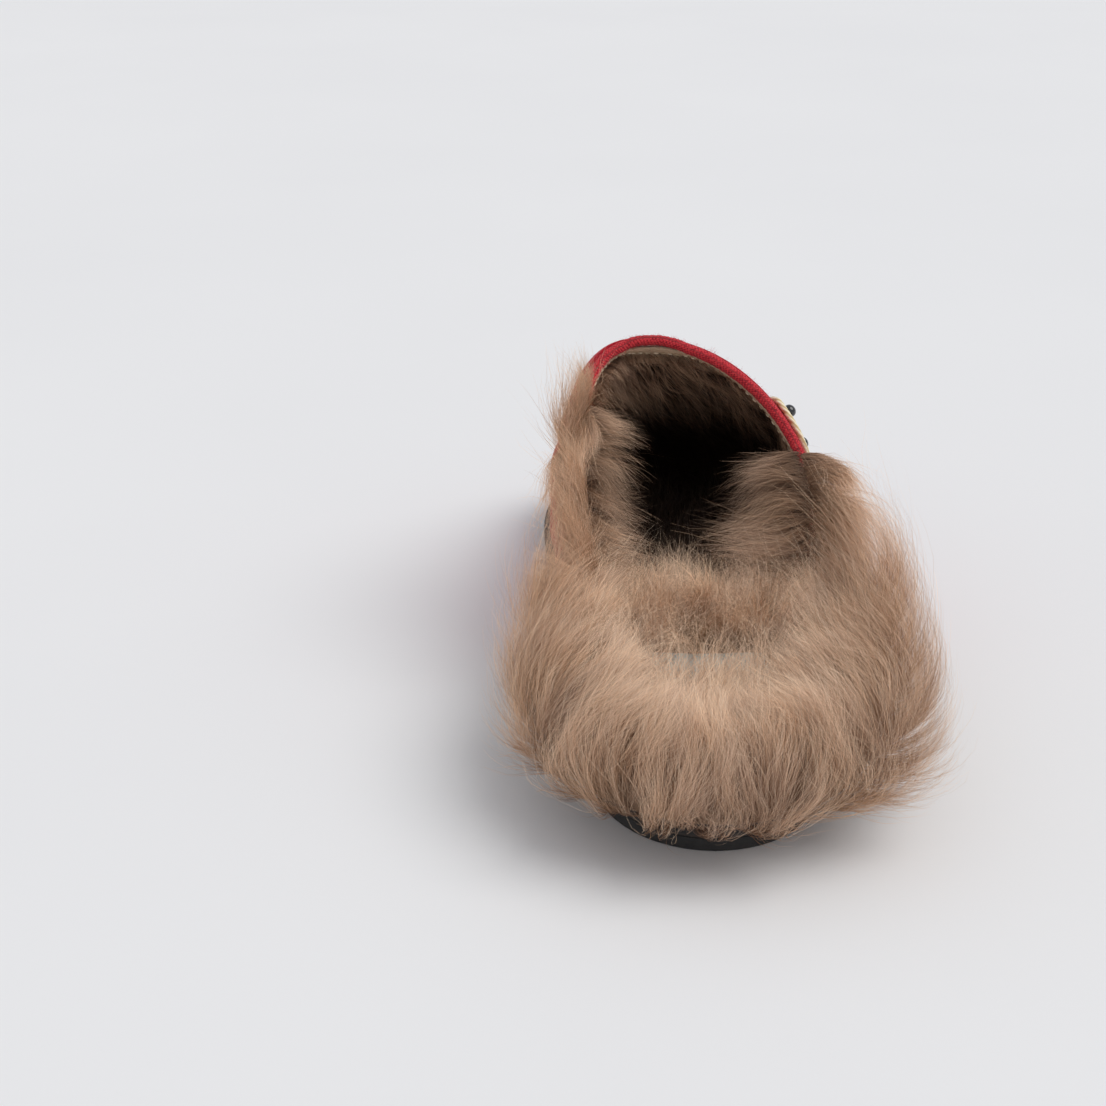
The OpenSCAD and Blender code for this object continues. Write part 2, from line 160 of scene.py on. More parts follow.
def upper_at(u, station, inset=0.0, foot=0.0):
    """Point of the upper: u from the inner sole edge (-1) over the ridge (0) to the outer (1).

    Above the side walls the section is a superellipse from wall to ridge; below, the wall runs
    straight down and draws in to the sole's edge with the square of the share it has fallen.
    """
    u, station, inset = np.broadcast_arrays(np.asarray(u, float), station, inset)
    side = np.where(u < 0, -1.0, 1.0)
    drawn = EDGE_INSET + inset
    toe = BALL_Y + (station - BALL_Y) * (1 - drawn / (SOLE_L - BALL_Y))
    y = np.where(station < BALL_Y, station, toe)
    edge = half_width(station) * (1 - drawn / (BALL_W / 2))
    bulge = WALL_BULGE * (1 - ease((station - WAIST_Y) / (BALL_Y - WAIST_Y)))
    base = under_z(y) + OUTSOLE_T + 0.15 * MM
    ahead = station - TOPLINE_Y
    fall = np.where(ahead < 0, 0.3 * ahead, (0.9 - 2.5 * ahead) * ahead)
    cap = shoulder((station - CAP_Y) / (SOLE_L - CAP_Y), 2.4)
    top = base + (INSTEP_H - fall - inset) * cap
    mid = base + WALL_MID * (top - base)
    low = np.minimum(base + foot, mid)
    full = np.where(side < 0, between(2.8, 2.2, ahead / 0.06), between(1.75, 2.2, ahead / 0.06))
    wall_x = mid_x(station) + side * (edge + bulge)
    a = np.radians(90 * np.minimum(1, np.abs(u) / WALL_SHARE))
    f = np.maximum(0, (np.abs(u) - WALL_SHARE) / (1 - WALL_SHARE))
    z_wall = mid - (mid - low) * f
    down = (mid - z_wall) / np.maximum(1e-5, mid - base)
    arch_x = RIDGE_X + (wall_x - RIDGE_X) * np.sin(a) ** (2 / full)
    arch_z = mid + (top - mid) * np.maximum(0, np.cos(a)) ** (2 / full)
    arch = np.abs(u) <= WALL_SHARE
    return np.stack([np.where(arch, arch_x, wall_x - side * bulge * down * down), y,
                     np.where(arch, arch_z, z_wall)], -1)


def topline_at(u):
    """Station of the topline: rounded over the ridge, running back down both sides."""
    bend = 0.2
    rise = (np.sqrt(u * u + bend * bend) - bend) / (math.sqrt(1 + bend * bend) - bend)
    return TOPLINE_Y - (TOPLINE_Y - WING_Y) * rise


def station_at(u, v, back=0.0):
    """Station at share v of the way from the topline to the toe, closer together at the toe."""
    start = topline_at(u) + back
    return start + (SOLE_L - start) * np.sin(np.radians(90 * v))


def place(points):
    """Moves stations into the row frame."""
    return np.asarray(points, float) + np.array([0.0, HEEL_BACK, 0.0])


# ---- meshes --------------------------------------------------------------------------------------

def grid_faces(rows, cols, round_rows=False, round_cols=False, flip=False):
    """Quads of a grid of rows by cols points, either way round, joined up where it closes."""
    r = np.arange(rows if round_rows else rows - 1)[:, None]
    c = np.arange(cols if round_cols else cols - 1)[None, :]
    a, b = r * cols + c, r * cols + (c + 1) % cols
    d, e = ((r + 1) % rows) * cols + c, ((r + 1) % rows) * cols + (c + 1) % cols
    quads = np.stack([a, d, e, b] if flip else [a, b, e, d], -1)
    return quads.reshape(-1, 4)


def piece(name, points, faces, material, values=None):
    """A smooth mesh object of whole arrays: points (n, 3), faces (m, 3 or 4), and values by point."""
    mesh = bpy.data.meshes.new(name)
    points = place(points).reshape(-1, 3)
    faces = np.asarray(faces, np.int32)
    count, sides = faces.shape
    mesh.vertices.add(len(points))
    mesh.vertices.foreach_set("co", points.astype(np.float32).ravel())
    mesh.loops.add(count * sides)
    mesh.loops.foreach_set("vertex_index", faces.ravel())
    mesh.polygons.add(count)
    mesh.polygons.foreach_set("loop_start", np.arange(count, dtype=np.int32) * sides)
    mesh.update(calc_edges=True)
    mesh.polygons.foreach_set("use_smooth", np.ones(count, bool))
    for key, value in (values or {}).items():
        layer = mesh.attributes.new(key, "FLOAT", "POINT")
        layer.data.foreach_set("value", np.asarray(value, np.float32).ravel())
    mesh.materials.append(material)
    made = bpy.data.objects.new(name, mesh)
    bpy.context.scene.collection.objects.link(made)
    return made


def close_up(made):
    """Merges a mesh's doubled points, such as a pole or a seam, and turns its faces outwards."""
    shape = bmesh.new()
    shape.from_mesh(made.data)
    bmesh.ops.remove_doubles(shape, verts=shape.verts, dist=0.02 * MM)
    bmesh.ops.recalc_face_normals(shape, faces=shape.faces)
    shape.to_mesh(made.data)
    shape.free()
    return made


def thicken(made, thickness):
    """Gives a sheet its thickness, added behind the face it was made with."""
    wall = made.modifiers.new("wall", "SOLIDIFY")
    wall.thickness = thickness
    wall.offset = -1.0
    return made


def shell(name, outer, inner, material, round_cols=False):
    """A closed wall between two grids of the same size: both faces and the edges that join them."""
    rows, cols = outer.shape[:2]
    near = grid_faces(rows, cols, round_cols=round_cols)
    far = grid_faces(rows, cols, round_cols=round_cols, flip=True) + rows * cols
    ids = np.arange(rows * cols).reshape(rows, cols)
    rims = [ids[0], ids[-1][::-1]]
    if round_cols:
        rims = [np.append(rim, rim[0]) for rim in rims]
    else:
        rims += [ids[::-1, 0], ids[:, -1]]
    edge = np.concatenate([np.stack([r[1:], r[:-1], r[:-1] + rows * cols, r[1:] + rows * cols], -1)
                           for r in rims])
    points = np.concatenate([outer.reshape(-1, 3), inner.reshape(-1, 3)])
    return close_up(piece(name, points, np.concatenate([near, far, edge]), material))


def tube(name, rings, material, values=None):
    """A closed tube through rings (stations, sides, 3), its ends drawn to their middles."""
    ends = [rings[:1].mean(1, keepdims=True).repeat(rings.shape[1], 1),
            rings[-1:].mean(1, keepdims=True).repeat(rings.shape[1], 1)]
    full = np.concatenate([ends[0], rings, ends[1]])
    faces = grid_faces(full.shape[0], full.shape[1], round_cols=True)
    return close_up(piece(name, full, faces, material, values=values))


def across_flex(made):
    """Places a piece by the sole's bend at the ball. What lies wholly on one side of the bend rides there;
    what crosses it keeps its place baked into its points.
    """
    low = np.array([0, HEEL_BACK + BEND_START, 0])
    spots = np.empty(len(made.data.vertices) * 3, np.float32)
    made.data.vertices.foreach_get("co", spots)
    share = (spots.reshape(-1, 3) - low) @ BEND_WAY / BEND_REACH
    if share.max() <= 0.05:
        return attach(made, "rear")
    if share.min() >= 0.95:
        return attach(made, "forefoot")
    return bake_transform(made)


# ---- materials -----------------------------------------------------------------------------------

class Shader:
    """A material's node tree, with short ways to add and join nodes."""

    def __init__(self, name, roughness=0.6, specular=0.5, **constants):
        self.material = bpy.data.materials.new(name)
        self.material.use_nodes = True
        self.tree = self.material.node_tree
        self.surface = self.tree.nodes["Principled BSDF"]
        self.surface.inputs["Roughness"].default_value = roughness
        self.surface.inputs["Specular IOR Level"].default_value = specular
        for key, value in constants.items():
            self.surface.inputs[key.replace("_", " ")].default_value = value

    def feed(self, socket, value):
        """Joins another node's output to a socket, or sets the socket to a plain value."""
        if isinstance(value, bpy.types.NodeSocket):
            self.tree.links.new(value, socket)
        else:
            socket.default_value = value

    def add(self, kind, settings=None, **inputs):
        """A new node with its settings, and its inputs fed by name."""
        node = self.tree.nodes.new(kind)
        for key, value in (settings or {}).items():
            setattr(node, key, value)
        for key, value in inputs.items():
            self.feed(node.inputs[key.replace("_", " ")], value)
        return node

    def where(self, scale=(1, 1, 1), turn=(0, 0, 0)):
        """Object coordinates, scaled and turned."""
        spot = self.add("ShaderNodeTexCoord").outputs["Object"]
        return self.add("ShaderNodeMapping", Vector=spot, Scale=scale, Rotation=turn).outputs[0]

    def noise(self, scale, detail=3.0, vector=None):
        """Noise from 0 to 1."""
        return self.add("ShaderNodeTexNoise", Vector=vector or self.where(), Scale=scale,
                        Detail=detail, Roughness=0.55).outputs["Fac"]

    def ramp(self, value, *stops):
        """A colour ramp through (place, colour) stops."""
        node = self.add("ShaderNodeValToRGB", Fac=value)
        while len(node.color_ramp.elements) < len(stops):
            node.color_ramp.elements.new(0.5)
        for mark, (spot, colour) in zip(node.color_ramp.elements, stops):
            mark.position = spot
            mark.color = (*colour, 1)
        return node.outputs["Color"]

    def mix(self, share, a, b, way="MIX"):
        """Two colours mixed by a share, each a socket or (red, green, blue)."""
        node = self.add("ShaderNodeMix", {"data_type": "RGBA", "blend_type": way})
        self.feed(node.inputs[0], share)
        for socket, value in ((node.inputs[6], a), (node.inputs[7], b)):
            self.feed(socket, (*value, 1) if isinstance(value, tuple) else value)
        return node.outputs[2]

    def maths(self, way, a, b=0.0, clamp=False):
        """Sum, product or the like of two values."""
        node = self.add("ShaderNodeMath", {"operation": way, "use_clamp": clamp})
        self.feed(node.inputs[0], a)
        self.feed(node.inputs[1], b)
        return node.outputs[0]

    def group(self, tree, **inputs):
        """Outputs of a shared node group."""
        return self.add("ShaderNodeGroup", {"node_tree": tree}, **inputs).outputs

    def value_of(self, attribute):
        """A value the mesh carries at each of its points."""
        return self.add("ShaderNodeAttribute", {"attribute_name": attribute}).outputs["Fac"]

    def colour(self, value):
        """Sets the surface's colour."""
        self.tree.links.new(value, self.surface.inputs["Base Color"])

    def rough(self, value, low, high):
        """Sets the surface's roughness, spread from low to high."""
        spread = self.add("ShaderNodeMapRange", Value=value, To_Min=low, To_Max=high)
        self.tree.links.new(spread.outputs[0], self.surface.inputs["Roughness"])

    def bump(self, height, distance, strength=1.0):
        """Raises the surface's grain by a height."""
        node = self.add("ShaderNodeBump", Height=height, Distance=distance, Strength=strength)
        self.tree.links.new(node.outputs[0], self.surface.inputs["Normal"])


def soft_fibre_group():
    """Matted fibres: two fine noises, one drawn out along X, with a slow drift of tone."""
    tree = bpy.data.node_groups.new("matted_fibres", "ShaderNodeTree")
    for name, kind, value in (("Spot", "NodeSocketVector", None), ("Fineness", "NodeSocketFloat", 900.0)):
        socket = tree.interface.new_socket(name, in_out="INPUT", socket_type=kind)
        if value is not None:
            socket.default_value = value
    for name in ("Height", "Tone"):
        tree.interface.new_socket(name, in_out="OUTPUT", socket_type="NodeSocketFloat")
    nodes, links = tree.nodes, tree.links
    source, sink = nodes.new("NodeGroupInput"), nodes.new("NodeGroupOutput")

    def noise(scale_by, detail, stretch):
        place_node = nodes.new("ShaderNodeMapping")
        place_node.inputs["Scale"].default_value = stretch
        links.new(source.outputs["Spot"], place_node.inputs["Vector"])
        scale = nodes.new("ShaderNodeMath")
        scale.operation = "MULTIPLY"
        scale.inputs[1].default_value = scale_by
        links.new(source.outputs["Fineness"], scale.inputs[0])
        node = nodes.new("ShaderNodeTexNoise")
        node.inputs["Detail"].default_value = detail
        links.new(place_node.outputs[0], node.inputs["Vector"])
        links.new(scale.outputs[0], node.inputs["Scale"])
        return node.outputs["Fac"]

    height = nodes.new("ShaderNodeMath")
    height.operation = "ADD"
    links.new(noise(1.0, 4.0, (1, 1, 1)), height.inputs[0])
    links.new(noise(0.7, 2.0, (0.22, 1, 1)), height.inputs[1])
    links.new(height.outputs[0], sink.inputs["Height"])
    links.new(noise(0.06, 2.0, (1, 1, 1)), sink.inputs["Tone"])
    return tree


def scuff_group():
    """Dust and rubbing near the floor: strongest at the floor, broken up by noise."""
    tree = bpy.data.node_groups.new("floor_scuff", "ShaderNodeTree")
    tree.interface.new_socket("Spot", in_out="INPUT", socket_type="NodeSocketVector")
    reach = tree.interface.new_socket("Reach", in_out="INPUT", socket_type="NodeSocketFloat")
    reach.default_value = 0.006
    tree.interface.new_socket("Mask", in_out="OUTPUT", socket_type="NodeSocketFloat")
    nodes, links = tree.nodes, tree.links
    source, sink = nodes.new("NodeGroupInput"), nodes.new("NodeGroupOutput")
    split = nodes.new("ShaderNodeSeparateXYZ")
    links.new(source.outputs["Spot"], split.inputs[0])
    near = nodes.new("ShaderNodeMapRange")
    links.new(split.outputs["Z"], near.inputs["Value"])
    links.new(source.outputs["Reach"], near.inputs["From Max"])
    near.inputs["To Min"].default_value = 1.0
    near.inputs["To Max"].default_value = 0.0
    speck = nodes.new("ShaderNodeTexNoise")
    speck.inputs["Scale"].default_value = 420.0
    speck.inputs["Detail"].default_value = 5.0
    links.new(source.outputs["Spot"], speck.inputs["Vector"])
    broken = nodes.new("ShaderNodeMath")
    broken.operation = "MULTIPLY"
    links.new(near.outputs[0], broken.inputs[0])
    links.new(speck.outputs["Fac"], broken.inputs[1])
    links.new(broken.outputs[0], sink.inputs["Mask"])
    return tree


FIBRES = soft_fibre_group()
SCUFF = scuff_group()


PAINTED_SHADE_TINT = (0.10, 0.09, 0.085)                 # painted shade: what is left of the fur's own colour deep inside the shoe


def fur_finish(name, root, middle, tip):
    """Hair: dark at the root, paler at the tip, each lock and each hair a little different."""
    s = Shader(name, roughness=0.5, specular=0.32)
    shade = s.ramp(s.value_of("along"), (0.0, root), (0.45, middle), (0.95, tip))
    warm = s.mix(s.value_of("lock"), (0.80, 0.74, 0.70), (1.18, 1.12, 1.0))
    shade = s.mix(1.0, shade, warm, "MULTIPLY")
    each = s.mix(s.value_of("tone"), (0.66, 0.64, 0.64), (1.22, 1.2, 1.18))
    shade = s.mix(1.0, shade, each, "MULTIPLY")
    # painted shade: hair deep inside the shoe is darkened by a value each strand carries
    s.colour(s.mix(s.value_of("wear_and_shade"), shade, s.mix(1.0, shade, PAINTED_SHADE_TINT, "MULTIPLY")))
    return s.material


def underfur_finish(name, deep, lit):
    """Dense underfur seen between the locks: short brushed streaks, with painted shade that darkens it
    towards the toe.
    """
    s = Shader(name, roughness=0.9, specular=0.15)
    fibres = s.group(FIBRES, Spot=s.where(), Fineness=1300.0)
    tan = s.ramp(fibres["Height"], (0.55, deep), (1.0, lit))
    # painted shade: darker towards the toe, where the shoe's inside lies in shade
    station = s.add("ShaderNodeSeparateXYZ", Vector=s.where()).outputs["Y"]
    shade_to_toe = s.add("ShaderNodeMapRange", Value=station, From_Min=HEEL_BACK + 0.10,
                   From_Max=HEEL_BACK + 0.16).outputs[0]
    s.colour(s.mix(shade_to_toe, tan, s.mix(1.0, tan, PAINTED_SHADE_TINT, "MULTIPLY")))
    s.bump(fibres["Height"], 0.8 * MM)
    return s.material


def felt_finish(name, deep, bright):
    """Wool felt: matted fibres, a slow drift of red and a soft sheen."""
    s = Shader(name, roughness=0.85, specular=0.2, Sheen_Weight=0.35, Sheen_Roughness=0.5,
               Sheen_Tint=(0.9, 0.25, 0.25, 1))
    fibres = s.group(FIBRES, Spot=s.where(), Fineness=1500.0)
    red = s.ramp(fibres["Height"], (0.55, deep), (1.15, bright))
    drift = s.mix(fibres["Tone"], (0.78, 0.78, 0.8), (1.15, 1.1, 1.1))
    s.colour(s.mix(1.0, red, drift, "MULTIPLY"))
    s.rough(fibres["Tone"], 0.75, 0.95)
    s.bump(fibres["Height"], 0.5 * MM, 0.85)
    return s.material


def rolled_felt_finish():
    """The rolled edge: coarse wool yarn that winds round the roll, with nubs."""
    s = Shader("red_rolled_wool", roughness=0.8, specular=0.25, Sheen_Weight=0.3,
               Sheen_Roughness=0.5, Sheen_Tint=(1.0, 0.35, 0.35, 1))
    around = s.value_of("around")
    wound = s.maths("ADD", s.value_of("along"), s.maths("MULTIPLY", around, 0.0035))
    rib = s.maths("SINE", s.maths("MULTIPLY", wound, 2 * math.pi / (1.1 * MM)))
    cross = s.maths("SINE", s.maths("MULTIPLY", around, 2 * math.pi * 9))
    weave = s.maths("MULTIPLY", rib, cross)
    fibres = s.group(FIBRES, Spot=s.where(), Fineness=1900.0)
    height = s.maths("ADD", s.maths("MULTIPLY", weave, 0.35), fibres["Height"])
    red = s.ramp(height, (0.4, (0.17, 0.004, 0.012)), (0.9, (0.42, 0.012, 0.026)),
                 (1.4, (0.66, 0.04, 0.05)))
    brown = s.ramp(height, (0.4, (0.12, 0.07, 0.045)), (1.4, (0.34, 0.22, 0.145)))
    s.colour(s.mix(s.value_of("furred"), red, brown))
    s.bump(height, 0.35 * MM)
    return s.material


def sole_finish(name, base, wear_and_shade, shine=0.42):
    """Black sole: fine moulded grain, duller and dustier next to the floor."""
    s = Shader(name, roughness=shine, specular=0.45)
    spot = s.where()
    grain = s.noise(1100.0, 4.0, vector=spot)
    scuff = s.group(SCUFF, Spot=spot, Reach=0.007)["Mask"]
    s.colour(s.mix(s.maths("MULTIPLY", scuff, 0.6, clamp=True), s.ramp(grain, (0.3, base), (0.7, wear_and_shade)),
                   (0.09, 0.085, 0.08)))
    s.rough(s.maths("ADD", scuff, s.maths("MULTIPLY", grain, 0.4)), shine, 0.85)
    trim = s.noise(160.0, 2.0, vector=s.where(scale=(1, 1, 24)))
    s.bump(s.maths("ADD", grain, s.maths("MULTIPLY", trim, 0.7)), 0.12 * MM)
    return s.material


def stacked_leather_finish():
    """Black-inked stacked leather: level lifts with fine joints."""
    s = Shader("inked_stacked_leather", roughness=0.4, specular=0.45)
    lifts = s.add("ShaderNodeTexWave", {"wave_type": "BANDS", "bands_direction": "Z"},
                  Vector=s.where(), Scale=105.0, Distortion=0.6, Detail=2.0).outputs["Fac"]
    grain = s.noise(900.0, 5.0)
    ink = s.ramp(grain, (0.3, (0.012, 0.011, 0.011)), (0.75, (0.03, 0.027, 0.025)))
    s.colour(s.mix(s.maths("POWER", lifts, 6.0), ink, (0.05, 0.04, 0.034)))
    s.rough(grain, 0.34, 0.6)
    s.bump(s.maths("ADD", grain, lifts), 0.15 * MM)
    return s.material


def plain_fibre_finish(name, deep, lit, fineness=1200.0, depth=0.3 * MM, roughness=0.85):
    """Board, tape, suede and the like: matted fibres between two tones."""
    s = Shader(name, roughness=roughness, specular=0.25)
    fibres = s.group(FIBRES, Spot=s.where(), Fineness=fineness)
    tone = s.mix(fibres["Tone"], (0.85, 0.85, 0.85), (1.12, 1.1, 1.08))
    s.colour(s.mix(1.0, s.ramp(fibres["Height"], (0.6, deep), (1.15, lit)), tone, "MULTIPLY"))
    s.rough(fibres["Tone"], roughness - 0.1, roughness + 0.08)
    s.bump(fibres["Height"], depth)
    return s.material


def foam_finish():
    """Open foam: small round pores."""
    s = Shader("cushion_foam", roughness=0.95, specular=0.1)
    pores = s.add("ShaderNodeTexVoronoi", Vector=s.where(), Scale=1100.0).outputs["Distance"]
    s.colour(s.ramp(pores, (0.05, (0.36, 0.3, 0.2)), (0.5, (0.72, 0.64, 0.48))))
    s.bump(pores, 0.3 * MM)
    return s.material


def thread_finish(name, deep, lit, twist=1500.0):
    """Twisted thread: slanted plies."""
    s = Shader(name, roughness=0.55, specular=0.4, Sheen_Weight=0.2)
    plies = s.add("ShaderNodeTexWave", {"wave_type": "BANDS", "bands_direction": "DIAGONAL"},
                  Vector=s.where(), Scale=twist / 10, Distortion=1.5, Detail=2.0).outputs["Fac"]
    s.colour(s.ramp(plies, (0.1, deep), (0.8, lit)))
    s.bump(plies, 0.12 * MM)
    return s.material


def ribbon_finish():
    """Woven ribbon for the blank label: fine crosswise ribs over lengthwise threads."""
    s = Shader("woven_ribbon", roughness=0.6, specular=0.3, Sheen_Weight=0.15)
    spot = s.where()
    ribs = s.add("ShaderNodeTexWave", {"wave_type": "BANDS", "bands_direction": "Y"},
                 Vector=spot, Scale=560.0, Distortion=0.3).outputs["Fac"]
    warp = s.add("ShaderNodeTexWave", {"wave_type": "BANDS", "bands_direction": "X"},
                 Vector=spot, Scale=760.0, Distortion=0.4).outputs["Fac"]
    height = s.maths("ADD", ribs, s.maths("MULTIPLY", warp, 0.6))
    fade = s.noise(90.0, 2.0)
    pale = s.mix(fade, (0.30, 0.47, 0.51), (0.44, 0.60, 0.63))
    s.colour(s.mix(s.maths("MULTIPLY", height, 0.35, clamp=True), pale, (0.62, 0.75, 0.77)))
    s.bump(height, 0.1 * MM)
    return s.material


def satin_finish(name, deep, lit):
    """Satin stitch: close parallel threads that run across the patch."""
    s = Shader(name, roughness=0.4, specular=0.45, Sheen_Weight=0.2)
    spot = s.where(turn=(0, 0.5, 0.35))
    rows = s.add("ShaderNodeTexWave", {"wave_type": "BANDS", "bands_direction": "Y"},
                 Vector=spot, Scale=420.0, Distortion=1.2, Detail=2.0).outputs["Fac"]
    drift = s.noise(260.0, 3.0, vector=s.where(scale=(0.3, 1, 1)))
    s.colour(s.mix(drift, s.ramp(rows, (0.1, deep), (0.7, lit)), lit))
    s.rough(rows, 0.55, 0.32)
    s.bump(rows, 0.18 * MM)
    return s.material


def bead_finish():
    """Polished black glass, with the faintest polishing haze."""
    s = Shader("jet_bead", roughness=0.08, specular=0.6, Coat_Weight=0.5, Coat_Roughness=0.05)
    haze = s.noise(700.0, 3.0)
    s.colour(s.ramp(haze, (0.3, (0.004, 0.004, 0.005)), (0.8, (0.012, 0.011, 0.012))))
    s.rough(haze, 0.05, 0.16)
    return s.material


def metal_finish(name, deep, lit, roughness, stretch):
    """Drawn or rolled metal: streaks along its length."""
    s = Shader(name, roughness=roughness, Metallic=1.0)
    streaks = s.noise(500.0, 4.0, vector=s.where(scale=stretch))
    s.colour(s.ramp(streaks, (0.3, deep), (0.7, lit)))
    s.rough(streaks, roughness - 0.1, roughness + 0.15)
    s.bump(streaks, 0.05 * MM)
    return s.material


HEEL_FUR = fur_finish("long_tan_fur", (0.30, 0.19, 0.128), (0.60, 0.41, 0.285), (0.94, 0.735, 0.575))
FOOTBED_FUR = fur_finish("footbed_fur", (0.43, 0.29, 0.20), (0.74, 0.535, 0.385), (0.98, 0.79, 0.62))
# painted shade: the lining's fur is darker than the heel's fur to stand for the shade inside the shoe
LINING_FUR = fur_finish("lining_fur", (0.21, 0.13, 0.09), (0.45, 0.295, 0.205), (0.74, 0.54, 0.40))
FLYAWAY = fur_finish("pale_flyaway_hair", (0.46, 0.33, 0.24), (0.80, 0.62, 0.47), (1.0, 0.86, 0.71))
# painted shade: the wings' lining fur is darker than the heel's fur to stand for the shade inside the shoe
WING_LINING_FUR = fur_finish("wing_lining_fur", (0.19, 0.12, 0.08), (0.45, 0.30, 0.205),
                             (0.78, 0.58, 0.44))
UNDERFUR = underfur_finish("brown_underfur", (0.16, 0.095, 0.06), (0.40, 0.26, 0.17))
FELT = felt_finish("red_felt", (0.16, 0.003, 0.010), (0.50, 0.014, 0.030))
FELT_FUZZ = felt_finish("red_fuzz", (0.30, 0.006, 0.018), (0.62, 0.035, 0.05))
ROLLED_FELT = rolled_felt_finish()
SOLE = sole_finish("black_sole", (0.010, 0.010, 0.011), (0.022, 0.022, 0.023))
HEEL_RUBBER = sole_finish("black_heel_rubber", (0.008, 0.008, 0.008), (0.018, 0.018, 0.018), 0.5)
STACKED = stacked_leather_finish()
BOARD = plain_fibre_finish("cellulose_board", (0.26, 0.16, 0.075), (0.48, 0.33, 0.18))
FOAM = foam_finish()
SUEDE = plain_fibre_finish("hide_suede", (0.24, 0.165, 0.105), (0.48, 0.36, 0.25), 1600.0)
FACING = plain_fibre_finish("tan_facing", (0.34, 0.225, 0.14), (0.66, 0.50, 0.35), 2200.0, 0.2 * MM)
TAPE = plain_fibre_finish("cotton_tape", (0.5, 0.47, 0.42), (0.82, 0.79, 0.72), 2400.0, 0.1 * MM)
PUFF = plain_fibre_finish("stiffened_cloth", (0.42, 0.37, 0.29), (0.66, 0.6, 0.48), 1800.0)
THREAD = thread_finish("cream_thread", (0.50, 0.38, 0.24), (0.86, 0.74, 0.56))
RIBBON = ribbon_finish()
SATIN = satin_finish("yellow_satin_stitch", (0.55, 0.36, 0.09), (0.88, 0.70, 0.30))
CORD_STITCH = thread_finish("cream_cord_stitch", (0.62, 0.47, 0.22), (0.93, 0.84, 0.60), 2600.0)
BEAD = bead_finish()
SHANK_STEEL = metal_finish("rolled_steel", (0.30, 0.31, 0.33), (0.55, 0.57, 0.6), 0.35, (1, 0.05, 1))
NAIL_STEEL = metal_finish("dull_nail_steel", (0.2, 0.19, 0.17), (0.42, 0.4, 0.36), 0.45, (1, 1, 0.1))
BRASS = metal_finish("dull_brass", (0.40, 0.28, 0.10), (0.66, 0.50, 0.22), 0.4, (1, 1, 1))


# ---- carried-over pieces of the frame ------------------------------------------------------------

for node_name, finish in (("heel_nails", NAIL_STEEL), ("steel_shank", SHANK_STEEL),
                          ("shank_rivets", BRASS), ("insole_board_forepart", BOARD),
                          ("insole_board_rear", BOARD), ("toe_puff", PUFF)):
    node_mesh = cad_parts[node_name].data
    node_mesh.materials.clear()
    node_mesh.materials.append(finish)


# ---- sole ----------------------------------------------------------------------------------------

BREAST_HOLLOW = 0.8 * MM                        # how far the heel's front face is hollowed


def slab(name, material, profile, low, high, turns=240, cut=None):
    """A sole layer: rings of the outline, each moved out by d at height h, closed to the middle line.

    profile lists (share of the way from the middle line, d, height share) from the underside's
    middle, round the edge, to the top's middle. Heights follow the underside. A cut replaces
    the outline beyond it with one line across, hollowed by a fraction of a millimetre.
    """
    turn = np.linspace(0, 360, turns, endpoint=False)
    rings = []
    for share, out, height in profile:
        edge = sole_edge(turn, np.full(turns, out))
        if cut is not None:
            beyond = edge[:, 1] > cut
            beyond = beyond | np.roll(beyond[::-1], 1)
            across = np.linspace(1, -1, beyond.sum())
            edge[beyond, 0] = mid_x(cut) + (half_width(cut) + out) * across
            edge[beyond, 1] = cut - BREAST_HOLLOW * (1 - across ** 2)
        middle = (edge[:, 1] + np.roll(edge[::-1, 1], 1)) / 2
        spine = np.stack([mid_x(middle), middle], -1)
        flat = spine + (edge - spine) * share
        z = under_z(flat[:, 1]) + low + (high - low) * height
        rings.append(np.column_stack([flat, z]))
    points = np.stack(rings)
    made = piece(name, points, grid_faces(len(profile), turns, round_cols=True, flip=True), material)
    return close_up(made)


def rounded(inset, edge_round, thickness):
    """A slab's ring list: flat underside, rounded lower edge, side, rounded upper edge, flat top."""
    r = edge_round
    h = r / thickness
    arc = np.radians([0, 30, 60, 90])
    lower = [(1.0, inset - r + r * math.sin(a), h * (1 - math.cos(a))) for a in arc]
    upper = [(1.0, inset - r + r * math.cos(a), 1 - h * (1 - math.sin(a))) for a in arc]
    middle = [(0.0, inset, 0.0), (0.35, inset - r, 0.0), (0.7, inset - r, 0.0), (0.94, inset - r, 0.0)]
    top = [(s, d, 1.0) for s, d, _ in reversed(middle)]
    return middle + lower + upper + top


outsole = slab("outsole", SOLE, rounded(0.0, 0.7 * MM, OUTSOLE_T), 0, OUTSOLE_T)
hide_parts("outsole_forepart", "outsole_rear")
across_flex(outsole)


def heel_stack(name, material, low, high, inset, edge_round):
    """The heel's plan, cut off at a slightly hollow breast, between two heights."""
    return slab(name, material, rounded(inset, edge_round, high - low), low - HEEL_H, high - HEEL_H,
                cut=HEEL_BREAST)


heel_block = heel_stack("stacked_heel", STACKED, LIFT_T, HEEL_H, -0.9 * MM, 0.25 * MM)
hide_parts("heel_block")
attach(heel_block, "rear")
heel_lift = heel_stack("rubber_heel_lift", HEEL_RUBBER, 0, LIFT_T, -0.8 * MM, 0.5 * MM)
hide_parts("heel_top_piece")
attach(heel_lift, "rear")

foam = slab("footbed_cushion", FOAM, rounded(BOARD_INSET, 0.6 * MM, FOAM_T), FOAM_Z, HIDE_Z)
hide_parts("footbed_foam")
across_flex(foam)
footbed_skin = slab("footbed_skin", UNDERFUR, rounded(BOARD_INSET, 0.3 * MM, HIDE_T), HIDE_Z, PILE_Z)
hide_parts("footbed_hide")
across_flex(footbed_skin)


# ---- upper ---------------------------------------------------------------------------------------

CREASE_Y, CREASE_SPREAD, CREASE_APART = 0.181, 0.011, 0.0095     # over the toe joints


